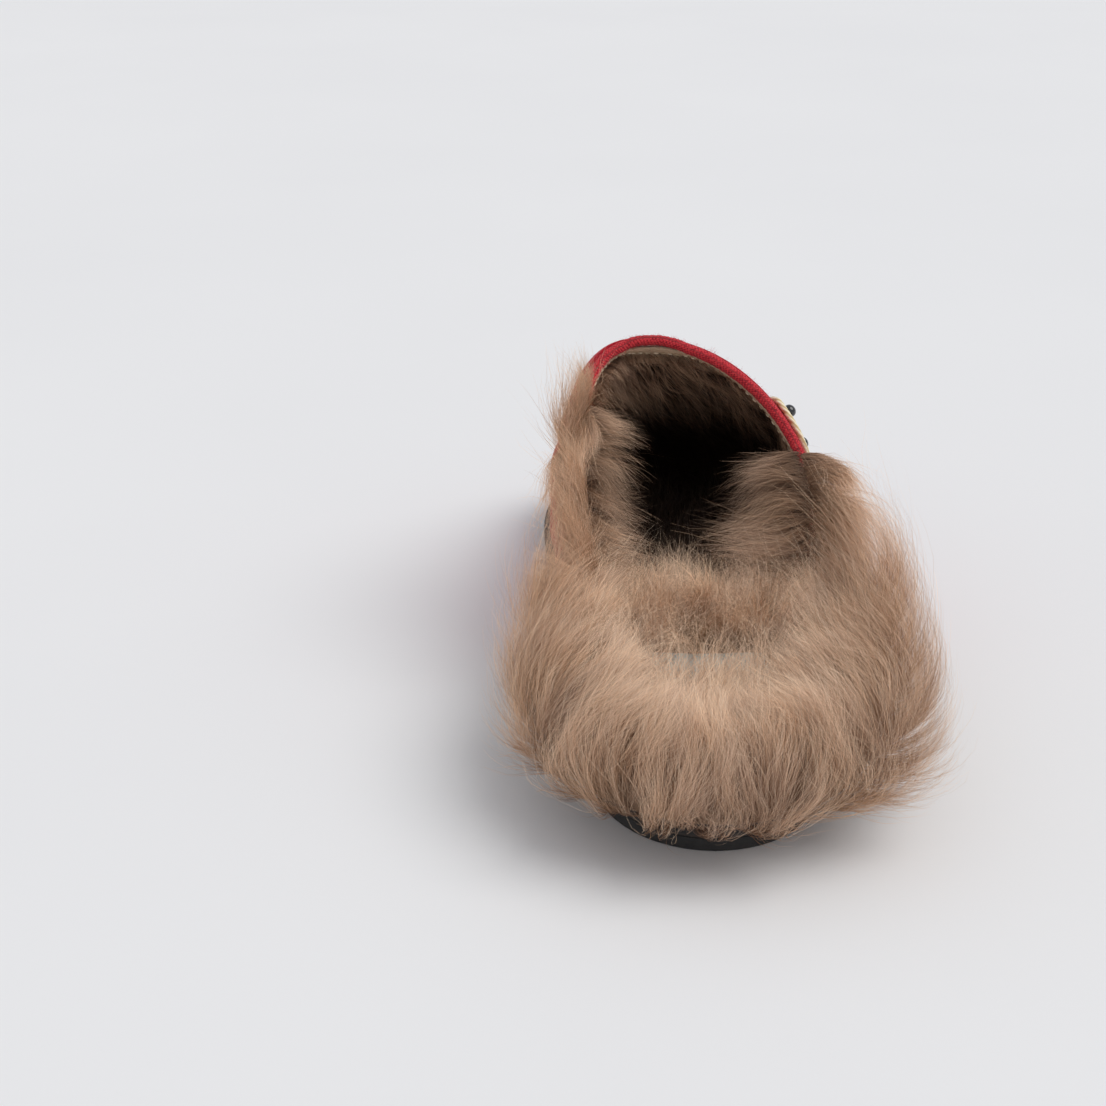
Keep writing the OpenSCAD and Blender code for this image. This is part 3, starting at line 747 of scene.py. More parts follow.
def felt_creases(u, station):
    """How far the felt stands out: soft waves all over and shallow creases over the toe joints."""
    waves = 0.35 * np.sin(71 * station + 3 * u) * np.sin(5.2 * u + 40 * station + 1)
    waves += 0.18 * np.sin(190 * station + 9 * u + 2) * np.sin(11 * u - 1)
    gap = station - CREASE_Y
    near = np.exp(-(gap / CREASE_SPREAD) ** 2) * (1 - ease((np.abs(u) - 0.25) / 0.5))
    creases = -0.55 * near * np.cos(2 * math.pi * gap / CREASE_APART + 2.1 * u)
    return (waves + creases) * MM


def upper_layer(name, material, depth, thickness, across, down, back=0.0, creased=False):
    """A layer of the upper: two grids at its depths, from behind the topline to the toe."""
    u = np.linspace(-1, 1, across)[None, :]
    v = np.linspace(0, 1, down)[:, None]
    station = station_at(u, v, back)
    fade = 1 - ease((v - 0.93) / 0.07)
    waves = felt_creases(u, station) * fade if creased else 0
    return shell(name, upper_at(u, station, depth - waves), upper_at(u, station, depth + thickness),
                 material)


felt_upper = upper_layer("felt_upper", FELT, 0.0, FELT_T, 200, 150, creased=True)
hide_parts("felt_vamp")
across_flex(felt_upper)
lining_skin = upper_layer("lining_skin", UNDERFUR, SKIN_OUT, SKIN_IN - SKIN_OUT, 110, 80,
                          back=FACING_REACH + CLEAR)
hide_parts("vamp_lining_hide")
across_flex(lining_skin)


def edge_band(name, material, depth, thickness, reach, waver=0.0):
    """A band along the topline at one depth, its free edge wavering a little."""
    u = np.linspace(-1, 1, 260)[None, :]
    across = np.linspace(0, 1, 6)[:, None]
    width = reach + waver * (np.sin(57 * u) + 0.6 * np.sin(131 * u + 2))
    station = topline_at(u) + across * width
    return shell(name, upper_at(u, station, depth), upper_at(u, station, depth + thickness), material)


edge_tape = edge_band("edge_tape", TAPE, PUFF_OUT, PUFF_IN - PUFF_OUT, FACING_REACH)
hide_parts("topline_tape")
across_flex(edge_tape)
edge_facing = edge_band("edge_facing", FACING, SKIN_OUT, SKIN_IN - SKIN_OUT, FACING_REACH, 0.25 * MM)
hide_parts("topline_facing")
across_flex(edge_facing)


NUDGE = 0.004                                   # a small step across, to find directions by


def topline_frame(u, depth, behind):
    """Points behind the topline with three directions: along it, back from it and out of the felt."""
    here = upper_at(u, topline_at(u), depth)
    ahead = np.clip(u + NUDGE, -1, 1)
    past = np.clip(u - NUDGE, -1, 1)
    along = unit(upper_at(ahead, topline_at(ahead), depth) - upper_at(past, topline_at(past), depth))
    back = here - upper_at(u, topline_at(u) + 2 * MM, depth)
    back = unit(back - (back * along).sum(-1, keepdims=True) * along)
    return here + behind * back, along, back, np.cross(along, back)


def run_of(points):
    """Distance run along a row of points."""
    steps = np.linalg.norm(np.diff(points, axis=0), axis=1)
    return np.concatenate([[0], np.cumsum(steps)])


OUTER_FUR_FROM, INNER_FUR_FROM = 0.45, 0.40     # shares of the topline where the wings' hair begins


def rolled_edge():
    """The roll: a round section carried along the topline, its radius wavering with the yarn."""
    sides, stations = 20, 620
    u = np.linspace(-0.998, 0.998, stations)
    middle, _, back, out = topline_frame(u, SKIN_IN / 2, ROLL_R + CLEAR)
    run = run_of(middle)
    furred = ease((u - OUTER_FUR_FROM) / 0.03) + ease((-u - INNER_FUR_FROM) / 0.03)
    turn = np.linspace(0, 2 * math.pi, sides, endpoint=False)
    lumps = 0.05 * np.sin(2 * math.pi * run / 0.0061)[:, None] * np.sin(turn + 1)[None, :]
    lumps = lumps + 0.035 * np.sin(2 * math.pi * run / 0.0023 + 1)[:, None] * np.cos(2 * turn)[None, :]
    yarn = 0.035 * np.sin(2 * math.pi * run / 0.0011)[:, None] * np.sin(4 * turn)[None, :]
    r = (ROLL_R * (1 + lumps + yarn))[..., None]
    rings = (middle[:, None] + r * (np.cos(turn)[None, :, None] * back[:, None]
                                    + np.sin(turn)[None, :, None] * out[:, None]))
    full_run = np.concatenate([run[:1], run, run[-1:]])
    values = {"along": np.repeat(full_run[:, None], sides, 1),
              "around": np.repeat(turn[None, :] / (2 * math.pi), stations + 2, 0),
              "furred": np.repeat(np.concatenate([furred[:1], furred, furred[-1:]])[:, None], sides, 1)}
    return tube("edge_roll", rings, ROLLED_FELT, values)


edge_roll = rolled_edge()
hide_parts("rolled_topline")
across_flex(edge_roll)


def capsules(name, middles, ways, lifts, length, radius, material, bow):
    """Short stitches: one small round-ended tube for each middle, bowed along its lift."""
    s = np.linspace(-1, 1, 7)
    turn = np.linspace(0, 2 * math.pi, 6, endpoint=False)
    r = radius * np.sqrt(np.maximum(0.02, 1 - np.abs(s) ** 3))
    side = np.cross(ways, lifts)
    spine = (middles[:, None] + s[None, :, None] * (length / 2) * ways[:, None]
             + (bow * (1 - s * s))[None, :, None] * lifts[:, None])
    ring = (np.cos(turn)[:, None] * side[:, None, None] + np.sin(turn)[:, None] * lifts[:, None, None])
    points = spine[:, :, None] + r[None, :, None, None] * ring
    count = len(middles)
    faces = grid_faces(len(s), len(turn), round_cols=True)
    faces = (faces[None] + (np.arange(count) * len(s) * len(turn))[:, None, None]).reshape(-1, 4)
    caps = []                                   # two quads close each six-sided end
    ring_ids = np.arange(len(turn))
    for start in (0, (len(s) - 1) * len(turn)):
        order = ring_ids[::-1] if start == 0 else ring_ids
        for k in (1, 3):
            caps.append([start + order[0], start + order[k], start + order[k + 1],
                         start + order[(k + 2) % len(turn)]])
    caps = (np.array(caps)[None] + (np.arange(count) * len(s) * len(turn))[:, None, None]).reshape(-1, 4)
    return close_up(piece(name, points, np.concatenate([faces, caps]), material))


STITCH_ROW = 1.9 * MM                           # from the topline to the facing's stitches


def facing_stitches():
    """The row of stitches that holds the facing, just inside the roll."""
    count = 84
    u = np.linspace(-0.9, 0.9, count)
    depth = SKIN_IN + 0.15 * MM
    row = topline_at(u) + STITCH_ROW
    here = upper_at(u, row, depth)
    ahead = upper_at(u + NUDGE, topline_at(u + NUDGE) + STITCH_ROW, depth)
    ways = unit(ahead - here)
    lifts = upper_at(u, row, depth + 1 * MM) - here
    lifts = unit(lifts - (lifts * ways).sum(-1, keepdims=True) * ways)
    return capsules("edge_stitches", here, ways, lifts, 1.7 * MM, 0.24 * MM, THREAD, 0.12 * MM)


stitches = facing_stitches()
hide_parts("facing_stitches")
across_flex(stitches)


# ---- appliqué ------------------------------------------------------------------------------------

PATCH_U, PATCH_Y, PATCH_HALF_U, PATCH_HALF_Y = 0.42, 168 * MM, 0.1, 17 * MM
PATCH_LIFT, PATCH_T, BEAD_R = -0.3 * MM, 1 * MM, 2.2 * MM


def patch_at(r, angle, depth):
    """Point at share r and an angle of the oval patch, at a depth under the felt's outer face."""
    return upper_at(PATCH_U + PATCH_HALF_U * r * np.cos(angle),
                    PATCH_Y + PATCH_HALF_Y * r * np.sin(angle), depth)


def satin_patch():
    """A low dome over the oval: its height falls to the felt with the square of the radius."""
    r = np.linspace(0, 0.97, 22)[:, None]
    angle = np.linspace(0, 2 * math.pi, 90, endpoint=False)[None, :]
    ridge = 0.06 * MM * np.sin(PATCH_HALF_Y * r * np.sin(angle) * 2 * math.pi / (1.2 * MM))
    depth = PATCH_LIFT - PATCH_T * (1 - 0.5 * r * r) + ridge
    return shell("satin_patch", patch_at(r, angle, depth), patch_at(r, angle, depth + 0.6 * PATCH_T),
                 SATIN, round_cols=True)


def corded_border():
    """A two-ply cord round the patch: the section is two lobes that turn along it."""
    stations, sides = 420, 16
    angle = np.linspace(0, 2 * math.pi, stations, endpoint=False)
    depth = PATCH_LIFT - 0.9 * MM
    here = patch_at(1.0, angle, depth)
    along = unit(np.roll(here, -1, 0) - np.roll(here, 1, 0))
    up = patch_at(1.0, angle, depth - 1 * MM) - here
    up = unit(up - (up * along).sum(-1, keepdims=True) * along)
    out = np.cross(up, along)
    turn = np.linspace(0, 2 * math.pi, sides, endpoint=False)
    plies = 26
    r = 1.0 * MM * (0.9 + 0.12 * np.abs(np.cos(turn[None, :] - plies * angle[:, None])))
    rings = here[:, None] + r[..., None] * (np.cos(turn)[None, :, None] * up[:, None]
                                            + np.sin(turn)[None, :, None] * out[:, None])
    return close_up(piece("corded_border", rings,
                          grid_faces(stations, sides, round_rows=True, round_cols=True), CORD_STITCH))


def domed_beads():
    """Two beads: each a flattened ball of revolution sitting on the patch."""
    rows, cols = 26, 36
    rise = np.linspace(-90, 90, rows)[:, None]
    turn = np.linspace(0, 360, cols, endpoint=False)[None, :]
    points = []
    for share_u, share_y in ((-0.45, -8), (0.35, 6)):
        u, y = PATCH_U + PATCH_HALF_U * share_u, PATCH_Y + share_y * MM
        depth = PATCH_LIFT - PATCH_T - BEAD_R * 0.8
        centre = upper_at(u, y, depth)
        up = unit(upper_at(u, y, depth - 1 * MM) - centre)
        side = unit(np.cross(up, [0.0, 1.0, 0.0]))
        fore = np.cross(side, up)
        a, b = np.radians(rise), np.radians(turn)
        ball = (BEAD_R * np.cos(a)[..., None] * (np.cos(b)[..., None] * side + np.sin(b)[..., None] * fore)
                + (0.85 * BEAD_R * np.sin(a))[..., None] * up)
        points.append(centre + ball)
    faces = grid_faces(rows, cols, round_cols=True)
    faces = np.concatenate([faces, faces + rows * cols])
    return close_up(piece("domed_beads", np.stack(points), faces, BEAD))


for made, node_name, slot_name in ((satin_patch(), "applique_patch", "patch"),
                                   (corded_border(), "applique_border", "border"),
                                   (domed_beads(), "applique_beads", "bead")):
    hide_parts(node_name)
    across_flex(made)


# ---- label ---------------------------------------------------------------------------------------

LABEL_LOW, LABEL_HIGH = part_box("insole_label")


def woven_label():
    """The blank ribbon: a level sheet that ripples by a fraction of its thickness."""
    x = np.linspace(LABEL_LOW.x + 0.5 * MM, LABEL_HIGH.x - 0.5 * MM, 60)[None, :]
    y = np.linspace(LABEL_LOW.y, LABEL_HIGH.y, 32)[:, None] - HEEL_BACK
    ripple = 0.25 * MM * np.sin(210 * x + 60 * y) * np.cos(160 * y)
    z = LABEL_LOW.z + 1.2 * MM + ripple
    points = np.stack(np.broadcast_arrays(x, y, z), -1)
    return thicken(piece("woven_label", points, grid_faces(32, 60), RIBBON), 0.5 * MM)


label = woven_label()
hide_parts("insole_label")
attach(label, "rear")


# ---- fur -----------------------------------------------------------------------------------------

RNG = np.random.default_rng(20)
ROOM_SHARE, ROOM_EXTRA = 0.026, 9 * MM          # how far hair may stand outside the frame's box
SIDES = [(CAD_BOX[1][k] - CAD_BOX[0][k]) * ROOM_SHARE + ROOM_EXTRA for k in range(3)]
HAIR_LOW = np.array([CAD_BOX[0][0] - SIDES[0], CAD_BOX[0][1] - SIDES[1] - HEEL_BACK, 0.5 * MM])
HAIR_HIGH = np.array([CAD_BOX[1][0] + SIDES[0], CAD_BOX[1][1] + SIDES[1] - HEEL_BACK,
                      CAD_BOX[1][2] + SIDES[2]])


def drift_of(points, size, seed):
    """Smooth noise from -1 to 1 that changes over a distance of size: a sum of slanted waves."""
    own = np.random.default_rng(seed)
    total = np.zeros(len(points))
    for _ in range(6):
        way = own.normal(size=3)
        way /= np.linalg.norm(way) * size * own.uniform(0.7, 1.5) / 2
        total += np.sin(points @ way * math.pi + own.uniform(0, 2 * math.pi))
    return np.clip(total / 2.6, -1, 1)


def nearest(points, centres):
    """Index of the nearest centre to each point, worked out in blocks."""
    found = np.empty(len(points), int)
    for start in range(0, len(points), 3000):
        block = points[start:start + 3000]
        gap = ((block[:, None] - centres[None]) ** 2).sum(-1)
        found[start:start + 3000] = gap.argmin(1)
    return found


def keep_in(strands):
    """Shortens each strand that would leave the room for hair until it stays inside."""
    root = strands[:, :1]
    gap = strands - root
    most = gap.max(1)
    least = gap.min(1)
    share = np.minimum((HAIR_HIGH - root[:, 0]) / np.maximum(most, 1e-9),
                       (HAIR_LOW - root[:, 0]) / np.minimum(least, -1e-9)).min(1)
    share = np.where(share < 1, share * RNG.uniform(0.82, 1.0, len(strands)), 1.0)
    return root + gap * np.clip(share, 0, 1)[:, None, None]


def grow(roots, field, length, per_lock, lift, sag, stray, splay, gather, steps=8, settle=1.2,
         wave=0.07):
    """Strands as (n, steps + 1, 3) points, with each one's root normal, lock and tone.

    A lock's guide starts at its root and steps along a direction: the field's normal times a lift
    that fades towards the tip, plus the field's comb direction, plus a slow side wave, plus sag.
    Each hair repeats its lock's guide from its own root, drawn in towards it by gather. The field
    gives a normal and a comb direction for points and the numbers of the roots they started from.
    """
    count = len(roots)
    length = np.broadcast_to(length, count)
    locks = RNG.choice(count, max(4, count // per_lock), replace=False)
    own = nearest(roots, roots[locks])
    guide_length = length[locks] * RNG.uniform(0.85, 1.15, len(locks))
    lifts = lift * (1 + 0.5 * drift_of(roots[locks], 0.016, 5) + 0.16 * RNG.normal(size=len(locks)))
    phase = 2 * math.pi * drift_of(roots[locks], 0.035, 6) + 0.5 * RNG.normal(size=len(locks))
    beat = 0.7 + 0.25 * drift_of(roots[locks], 0.03, 7)
    swing = wave * (1 + 0.6 * drift_of(roots[locks], 0.02, 8))
    at = roots[locks].copy()
    guide = [at.copy()]
    for k in range(steps):
        t = (k + 0.5) / steps
        normal, comb = field(at, locks)
        side = unit(np.cross(normal, comb))
        way = (normal * (lifts * (1 - t) ** settle)[:, None] + comb
               + side * (swing * 2 * math.pi * np.sin(2 * math.pi * beat * t + phase))[:, None])
        way = unit(way)
        way[:, 2] -= sag * t
        at = at + unit(way) * (guide_length / steps)[:, None]
        guide.append(at.copy())
    guide = np.stack(guide, 1) - roots[locks][:, None]

    t = np.linspace(0, 1, steps + 1)[None, :, None]
    scale = (length / guide_length[own] * RNG.uniform(0.75, 1.1, count))
    drawn = np.clip(gather + RNG.normal(0, 0.2, count), 0, 0.95)
    loose = RNG.random(count) < stray
    drawn = np.where(loose, 0.1, drawn)
    apart = (roots - roots[locks][own])[:, None] * (1 - drawn[:, None, None] * t ** 0.8)
    throw = unit(RNG.normal(size=(count, 3))) * (length * np.where(loose, 0.36, splay))[:, None]
    wisp = unit(RNG.normal(size=(count, 3))) * (length * 0.024)[:, None]
    bends = np.sin(2 * math.pi * t * RNG.uniform(0.8, 2.2, count)[:, None, None]
                   + RNG.uniform(0, 2 * math.pi, count)[:, None, None])
    strands = (roots[locks][own][:, None] + guide[own] * scale[:, None, None] + apart
               + throw[:, None] * t ** 1.7 + wisp[:, None] * bends * t)
    strands = keep_in(strands)
    normal, _ = field(roots, np.arange(count))
    lock_tone = 0.5 + 0.14 * RNG.normal(size=len(locks)) + 0.4 * drift_of(roots[locks], 0.018, 19)
    lock_tone = np.clip(lock_tone, 0, 1)
    tone = np.clip(0.5 + 0.24 * RNG.normal(size=count) + 0.3 * loose, 0, 1)
    return strands, normal, lock_tone[own], tone


def painted_shade_at(points):
    """How much painted shade darkens the fur inside the shoe: none at the wings, full at the toe, less on
    the roof.
    """
    return ease((points[..., 1] - 0.108) / 0.05) * (1 - 0.75 * ease((points[..., 2] - 0.045) / 0.03))


FACES_MAX = 196000                              # triangles in one piece of fur


def ribbons(name, strands, normals, lock, tone, width, material, inside_shade):
    """Hairs as tapering ribbons that face along the root's normal, in pieces of even size.

    Hair inside the shoe is darkened towards the toe by painted shade.
    """
    count, knots = strands.shape[:2]
    along = unit(np.gradient(strands, axis=1))
    side = unit(np.cross(along, normals[:, None]))
    out = np.cross(side, along)
    twist = RNG.normal(0, 0.6, count)[:, None, None]
    side = np.cos(twist) * side + np.sin(twist) * out
    t = np.linspace(0, 1, knots)
    taper = (0.12 + 0.88 * (1 - t) ** 0.75) * (0.75 + 0.25 * np.minimum(1, t * 4))
    half = 0.5 * width * RNG.uniform(0.7, 1.25, count)[:, None] * taper[None]
    points = np.stack([strands - side * half[..., None], strands + side * half[..., None]], 2)
    each = grid_faces(knots, 2)
    per_piece = FACES_MAX // (2 * (knots - 1))
    parts = int(math.ceil(count / per_piece))
    made = []
    for k, chosen in enumerate(np.array_split(np.arange(count), parts)):
        many = len(chosen)
        faces = (each[None] + (np.arange(many) * knots * 2)[:, None, None]).reshape(-1, 4)
        shape = (many, knots, 2)
        values = {"along": np.broadcast_to(t[None, :, None], shape),
                  "tone": np.broadcast_to(tone[chosen][:, None, None], shape),
                  "lock": np.broadcast_to(lock[chosen][:, None, None], shape),
                  # painted shade for hair inside the shoe, darker towards the toe
                  "wear_and_shade": painted_shade_at(points[chosen]) * inside_shade}
        made.append(piece(f"{name}_{k + 1}" if parts > 1 else name, points[chosen], faces, material,
                          values=values))
    return made


# The heel's fur: a soft roll that follows the sole's edge, from one wing round to the other.
ROLL_MID = np.array([5 * MM, 14.5 * MM])        # its middle, out from the edge and up
ROLL_HALF = np.array([10.5 * MM, 11.5 * MM])    # its half width and half height
ROLL_TURN = 72.0                                # degrees from the back of the heel to each end
HEEL_SPAN = (-84, 84)                           # where the long hair grows, degrees round
LOW_WHORL = (-11.0, -74.0)                      # where the hair parts: degrees round, degrees up
PUFF_MIDDLE = (38.0, -4.0)                      # where the outer side's hair stands out most
TURNS = np.linspace(-112, 112, 449)
EDGE = sole_edge(TURNS)
EDGE_WAY = unit(np.gradient(EDGE, axis=0))


def roll_swell(turn):
    """The roll's size along the edge: full at the heel, slimmer beside the wings."""
    return 1 - 0.3 * ease((np.abs(turn) - 42) / 30)


def roll_at(turn, climb, grown=1.0):
    """Point of the roll at an angle round the heel and an angle up its section."""
    swell = roll_swell(turn) * grown
    out = ROLL_MID[0] + ROLL_HALF[0] * swell * np.cos(np.radians(climb))
    flat = sole_edge(turn, out)
    station = sole_edge(turn)[..., 1]
    z = under_z(station) + ROLL_MID[1] + ROLL_HALF[1] * swell * np.sin(np.radians(climb))
    return np.concatenate([flat, z[..., None]], -1)


def roll_place(points):
    """Where points lie on the roll: index round the edge, angle round, angle up, and directions."""
    k = nearest(points[:, :2], EDGE)
    way = EDGE_WAY[k]
    out = np.stack([way[:, 1], -way[:, 0]], -1)
    d = ((points[:, :2] - EDGE[k]) * out).sum(-1) - ROLL_MID[0]
    h = points[:, 2] - under_z(EDGE[k][:, 1]) - ROLL_MID[1]
    half = ROLL_HALF[None] * roll_swell(TURNS[k])[:, None]
    slope = unit(np.stack([d / half[:, 0] ** 2, h / half[:, 1] ** 2], -1))
    climb = np.degrees(np.arctan2(h / half[:, 1], d / half[:, 0]))
    normal = np.column_stack([out * slope[:, :1], slope[:, 1]])
    over = np.column_stack([-out * slope[:, 1:], slope[:, 0]])
    round_way = np.column_stack([way, np.zeros(len(points))])
    return TURNS[k], climb, normal, over, round_way


def away_from(whorl, turn, climb, reach):
    """Unit direction (round, up) away from a whorl, and how strongly it rules there."""
    gap = np.stack([(turn - whorl[0]) * 0.75, climb - whorl[1]], -1)
    far = np.linalg.norm(gap, axis=-1, keepdims=True)
    return gap / np.maximum(far, 1e-6), np.exp(-(far / reach) ** 2)


def heel_field(points, which):
    """Hair parts at a whorl low on the heel and runs up from it; on the outer side it stands out.

    Beside the wings and over the top it runs towards the toe. Slow drifts turn whole locks.
    """
    turn, climb, normal, over, round_way = roll_place(points)
    low_way, low_rule = away_from(LOW_WHORL, turn, climb, 62.0)
    _, puff_rule = away_from(PUFF_MIDDLE, turn, climb, 42.0)
    beside = ease((np.abs(turn) - 22) / 34)
    top = ease((climb - 25) / 60)
    onward = np.where(turn < 0, -1.0, 1.0) * (0.2 + 0.75 * top) * beside
    onward += np.clip((turn - LOW_WHORL[0]) / 60, -1, 1) * 0.35 * (1 - top)
    upward = 1.0 - 0.62 * beside * top
    way = np.stack([onward, upward], -1)
    way = unit(way * (1 - np.clip(low_rule, 0, 0.9)) + 1.3 * low_way * low_rule)
    way[:, 1] = np.maximum(way[:, 1], -0.05 - 0.25 * beside)
    sway = 0.34 * drift_of(points, 0.03, 31) + 0.3 * drift_of(points, 0.01, 32)
    comb = unit(over * way[:, 1:] + round_way * (way[:, :1] + sway[:, None]))
    standing = ease((climb - 20) / 50)
    comb[:, 2] = np.maximum(comb[:, 2], 0.15 * standing - (1 - standing))
    puff = puff_rule[:, 0] * ease((turn - 12) / 22) * (1 - 0.8 * ease((climb - 30) / 30))
    return unit(normal) * (1 + 2.4 * puff[:, None]), comb


def heel_roots(count, turn_span, climb_span):
    """Roots spread over a stretch of the roll, with their angles round and up."""
    turn = RNG.uniform(*turn_span, count)
    climb = RNG.uniform(*climb_span, count)
    return roll_at(turn, climb), turn, climb


def underfur_roll():
    """The body under the heel's hair: the roll itself, closed at both ends."""
    turn = np.linspace(-ROLL_TURN, ROLL_TURN, 120)[:, None]
    climb = np.linspace(0, 360, 36, endpoint=False)[None, :]
    turn, climb = np.broadcast_arrays(turn, climb)
    rings = roll_at(turn, climb, 0.93)
    inner = sole_edge(turn, np.full(turn.shape, BOARD_INSET + 1.8 * MM))
    inside = (np.cos(np.radians(climb)) < 0)[..., None]
    flat = np.where(inside & (np.linalg.norm(rings[..., :2] - inner, axis=-1, keepdims=True) > 0.03),
                    inner, rings[..., :2])
    low = under_z(sole_edge(turn)[..., 1]) + np.where(
        np.cos(np.radians(climb)) < 0.35, OUTSOLE_T + 0.4 * MM, -4 * MM)
    z = np.maximum(rings[..., 2], low)
    return tube("heel_underfur", np.concatenate([flat, z[..., None]], -1), UNDERFUR)


underfur = underfur_roll()
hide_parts("heel_fur_pile")
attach(underfur, "rear")


def heel_skin():
    """The hide turned down over the sole's edge, round the heel."""
    turn = np.linspace(-ROLL_TURN + 1, ROLL_TURN - 1, 140)[:, None]
    height = np.linspace(OUTSOLE_T + 0.3 * MM, PILE_Z, 6)[None, :]
    turn, height = np.broadcast_arrays(turn, height)
    flat = sole_edge(turn, np.full(turn.shape, BOARD_INSET + 1.3 * MM))
    z = under_z(sole_edge(turn)[..., 1]) + height
    return thicken(piece("heel_skin", np.concatenate([flat, z[..., None]], -1),
                         grid_faces(140, 6), SUEDE), 0.9 * MM)


skin = heel_skin()
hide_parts("heel_hide_wrap")
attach(skin, "rear")


def coat(name, strands, width, material, stands_for=None, inside_shade=0.0):
    """Makes a fur's pieces and fastens each to the body or bodies under it."""
    for part in ribbons(name, *strands, width, material, inside_shade):
        across_flex(part)
        if stands_for:
            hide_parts(stands_for)
            stands_for = None


def long_heel_fur(count):
    """The long hair of the heel, in order round it, so that each piece is one stretch of the heel."""
    roots, turn, climb = heel_roots(count, HEEL_SPAN, (-62, 165))
    order = np.argsort(turn)
    roots, turn, climb = roots[order], turn[order], climb[order]
    inward = ease((climb - 20) / 40)
    outer = ease((turn + 10) / 50) * (1 - inward)
    length = (24 + 6 * RNG.random(count) + 4 * drift_of(roots, 0.03, 3) + 14 * outer) * MM
    beside = ease((np.abs(turn) - 40) / 22)
    length *= between(0.75, 1.0, (climb + 62) / 30) * (1 - inward * (0.40 + 0.05 * beside))
    length *= 1 + 0.3 * beside * (1 - inward)
    return grow(roots, heel_field, length, per_lock=15, gather=0.5, lift=0.72, settle=0.9, sag=0.08,
                wave=0.03, stray=0.2, splay=0.14)


coat("heel_fur", long_heel_fur(41000), 0.115 * MM, HEEL_FUR)


def flyaway_hair(count):
    """Single pale hairs that cross the heel's locks and stand out beyond them."""
    roots, _, _ = heel_roots(count, HEEL_SPAN, (-50, 140))
    length = (20 + 13 * RNG.random(count)) * MM
    return grow(roots, heel_field, length, per_lock=3, gather=0.0, lift=0.8, settle=0.8, sag=0.1,
                wave=0.07, stray=0.5, splay=0.3)


coat("flyaway_hair", flyaway_hair(3800), 0.075 * MM, FLYAWAY)


PARTING = np.array([-6 * MM, 48 * MM])          # the footbed's hair leans away from this point
LEAN_BACK_Y = 79 * MM                           # and back towards the heel near this station


def footbed_field(points, which):
    """Upright hair that leans to the toe and out from a parting; past the label it leans back."""
    gap = points[:, :2] - PARTING
    fan = unit(gap) * np.exp(-(np.linalg.norm(gap, axis=1) / 0.035) ** 2)[:, None]
    sway = drift_of(points, 0.02, 41)
    back_over = 0.8 * np.exp(-((points[:, 1] - LEAN_BACK_Y) / (11 * MM)) ** 2)
    comb = np.column_stack([0.5 * fan[:, 0] + 0.45 * sway, 0.5 + 0.25 * fan[:, 1] - back_over,
                            0.1 * drift_of(points, 0.012, 42)])
    return np.tile([0.0, -0.12, 1.0], (len(points), 1)), comb


BARE_MID, BARE_HALF = (3 * MM, 66 * MM), (18 * MM, 8.5 * MM)     # the bare spot for the label


def footbed_hair(count):
    """Hair all over the footbed but the label: long at the heel, short and thin towards the toe."""
    y = RNG.uniform(7, 212, count) * MM
    x = mid_x(y) + RNG.uniform(-1, 1, count) * np.maximum(1 * MM, half_width(y) - 8.5 * MM)
    label_gap = np.maximum(np.abs(x - BARE_MID[0]) - BARE_HALF[0],
                           np.abs(y - BARE_MID[1]) - BARE_HALF[1])
    keep = (label_gap > 0) & (RNG.random(count) < between(1.0, 0.45, (y / MM - 120) / 40))
    x, y = x[keep], y[keep]
    roots = np.column_stack([x, y, under_z(y) + PILE_Z - 0.1 * MM])
    length = between(25, 19, (y / MM - 80) / 40) * MM * (1 + 0.2 * drift_of(roots, 0.02, 43))
    length *= RNG.uniform(0.55, 1.1, len(y)) * (1 - 0.45 * np.exp(-((y - 46 * MM) / (14 * MM)) ** 2))
    return grow(roots, footbed_field, length, per_lock=14, steps=6, gather=0.45, lift=1.0, settle=0.5,
                sag=0.1, wave=0.05, stray=0.28, splay=0.2)


# the footbed's hair takes the full painted shade towards the toe
coat("footbed_fur", footbed_hair(24000), 0.13 * MM, FOOTBED_FUR,
     stands_for="footbed_fur_pile", inside_shade=1.0)


def crossing_hair(count):
    """Longer wisps on both sides of the label: some lean forwards over it, some back towards it."""
    front = RNG.random(count) < 0.2
    y = np.where(front, RNG.uniform(26, 56, count), RNG.uniform(76, 112, count)) * MM
    x = mid_x(y) + RNG.uniform(-1, 1, count) * (half_width(y) - 7 * MM)
    roots = np.column_stack([x, y, under_z(y) + PILE_Z - 0.1 * MM])
    lean = np.where(front, 0.55, -0.35)

    def field(points, which):
        return (np.tile([0.0, 0.0, 1.0], (len(points), 1)),
                np.column_stack([0.8 * drift_of(points, 0.02, 45), lean[which],
                                 0.2 * drift_of(points, 0.012, 46)]))

    length = (22 + 12 * RNG.random(count)) * MM
    return grow(roots, field, length, per_lock=9, gather=0.6, lift=1.0, settle=0.5, sag=0.1,
                wave=0.05, stray=0.3, splay=0.22)


coat("crossing_fur", crossing_hair(3900), 0.11 * MM, HEEL_FUR)


def inner_place(u, station, depth):
    """Points on the upper's inside and the directions that face into it there."""
    here = upper_at(u, station, depth)
    across = upper_at(u + NUDGE, station, depth) - upper_at(u - NUDGE, station, depth)
    along = upper_at(u, station + 0.5 * MM, depth) - upper_at(u, station - 0.5 * MM, depth)
    return here, unit(np.cross(unit(across), unit(along)))


LINING_FUR_END = 0.222                          # no root of the lining's hair is nearer the toe


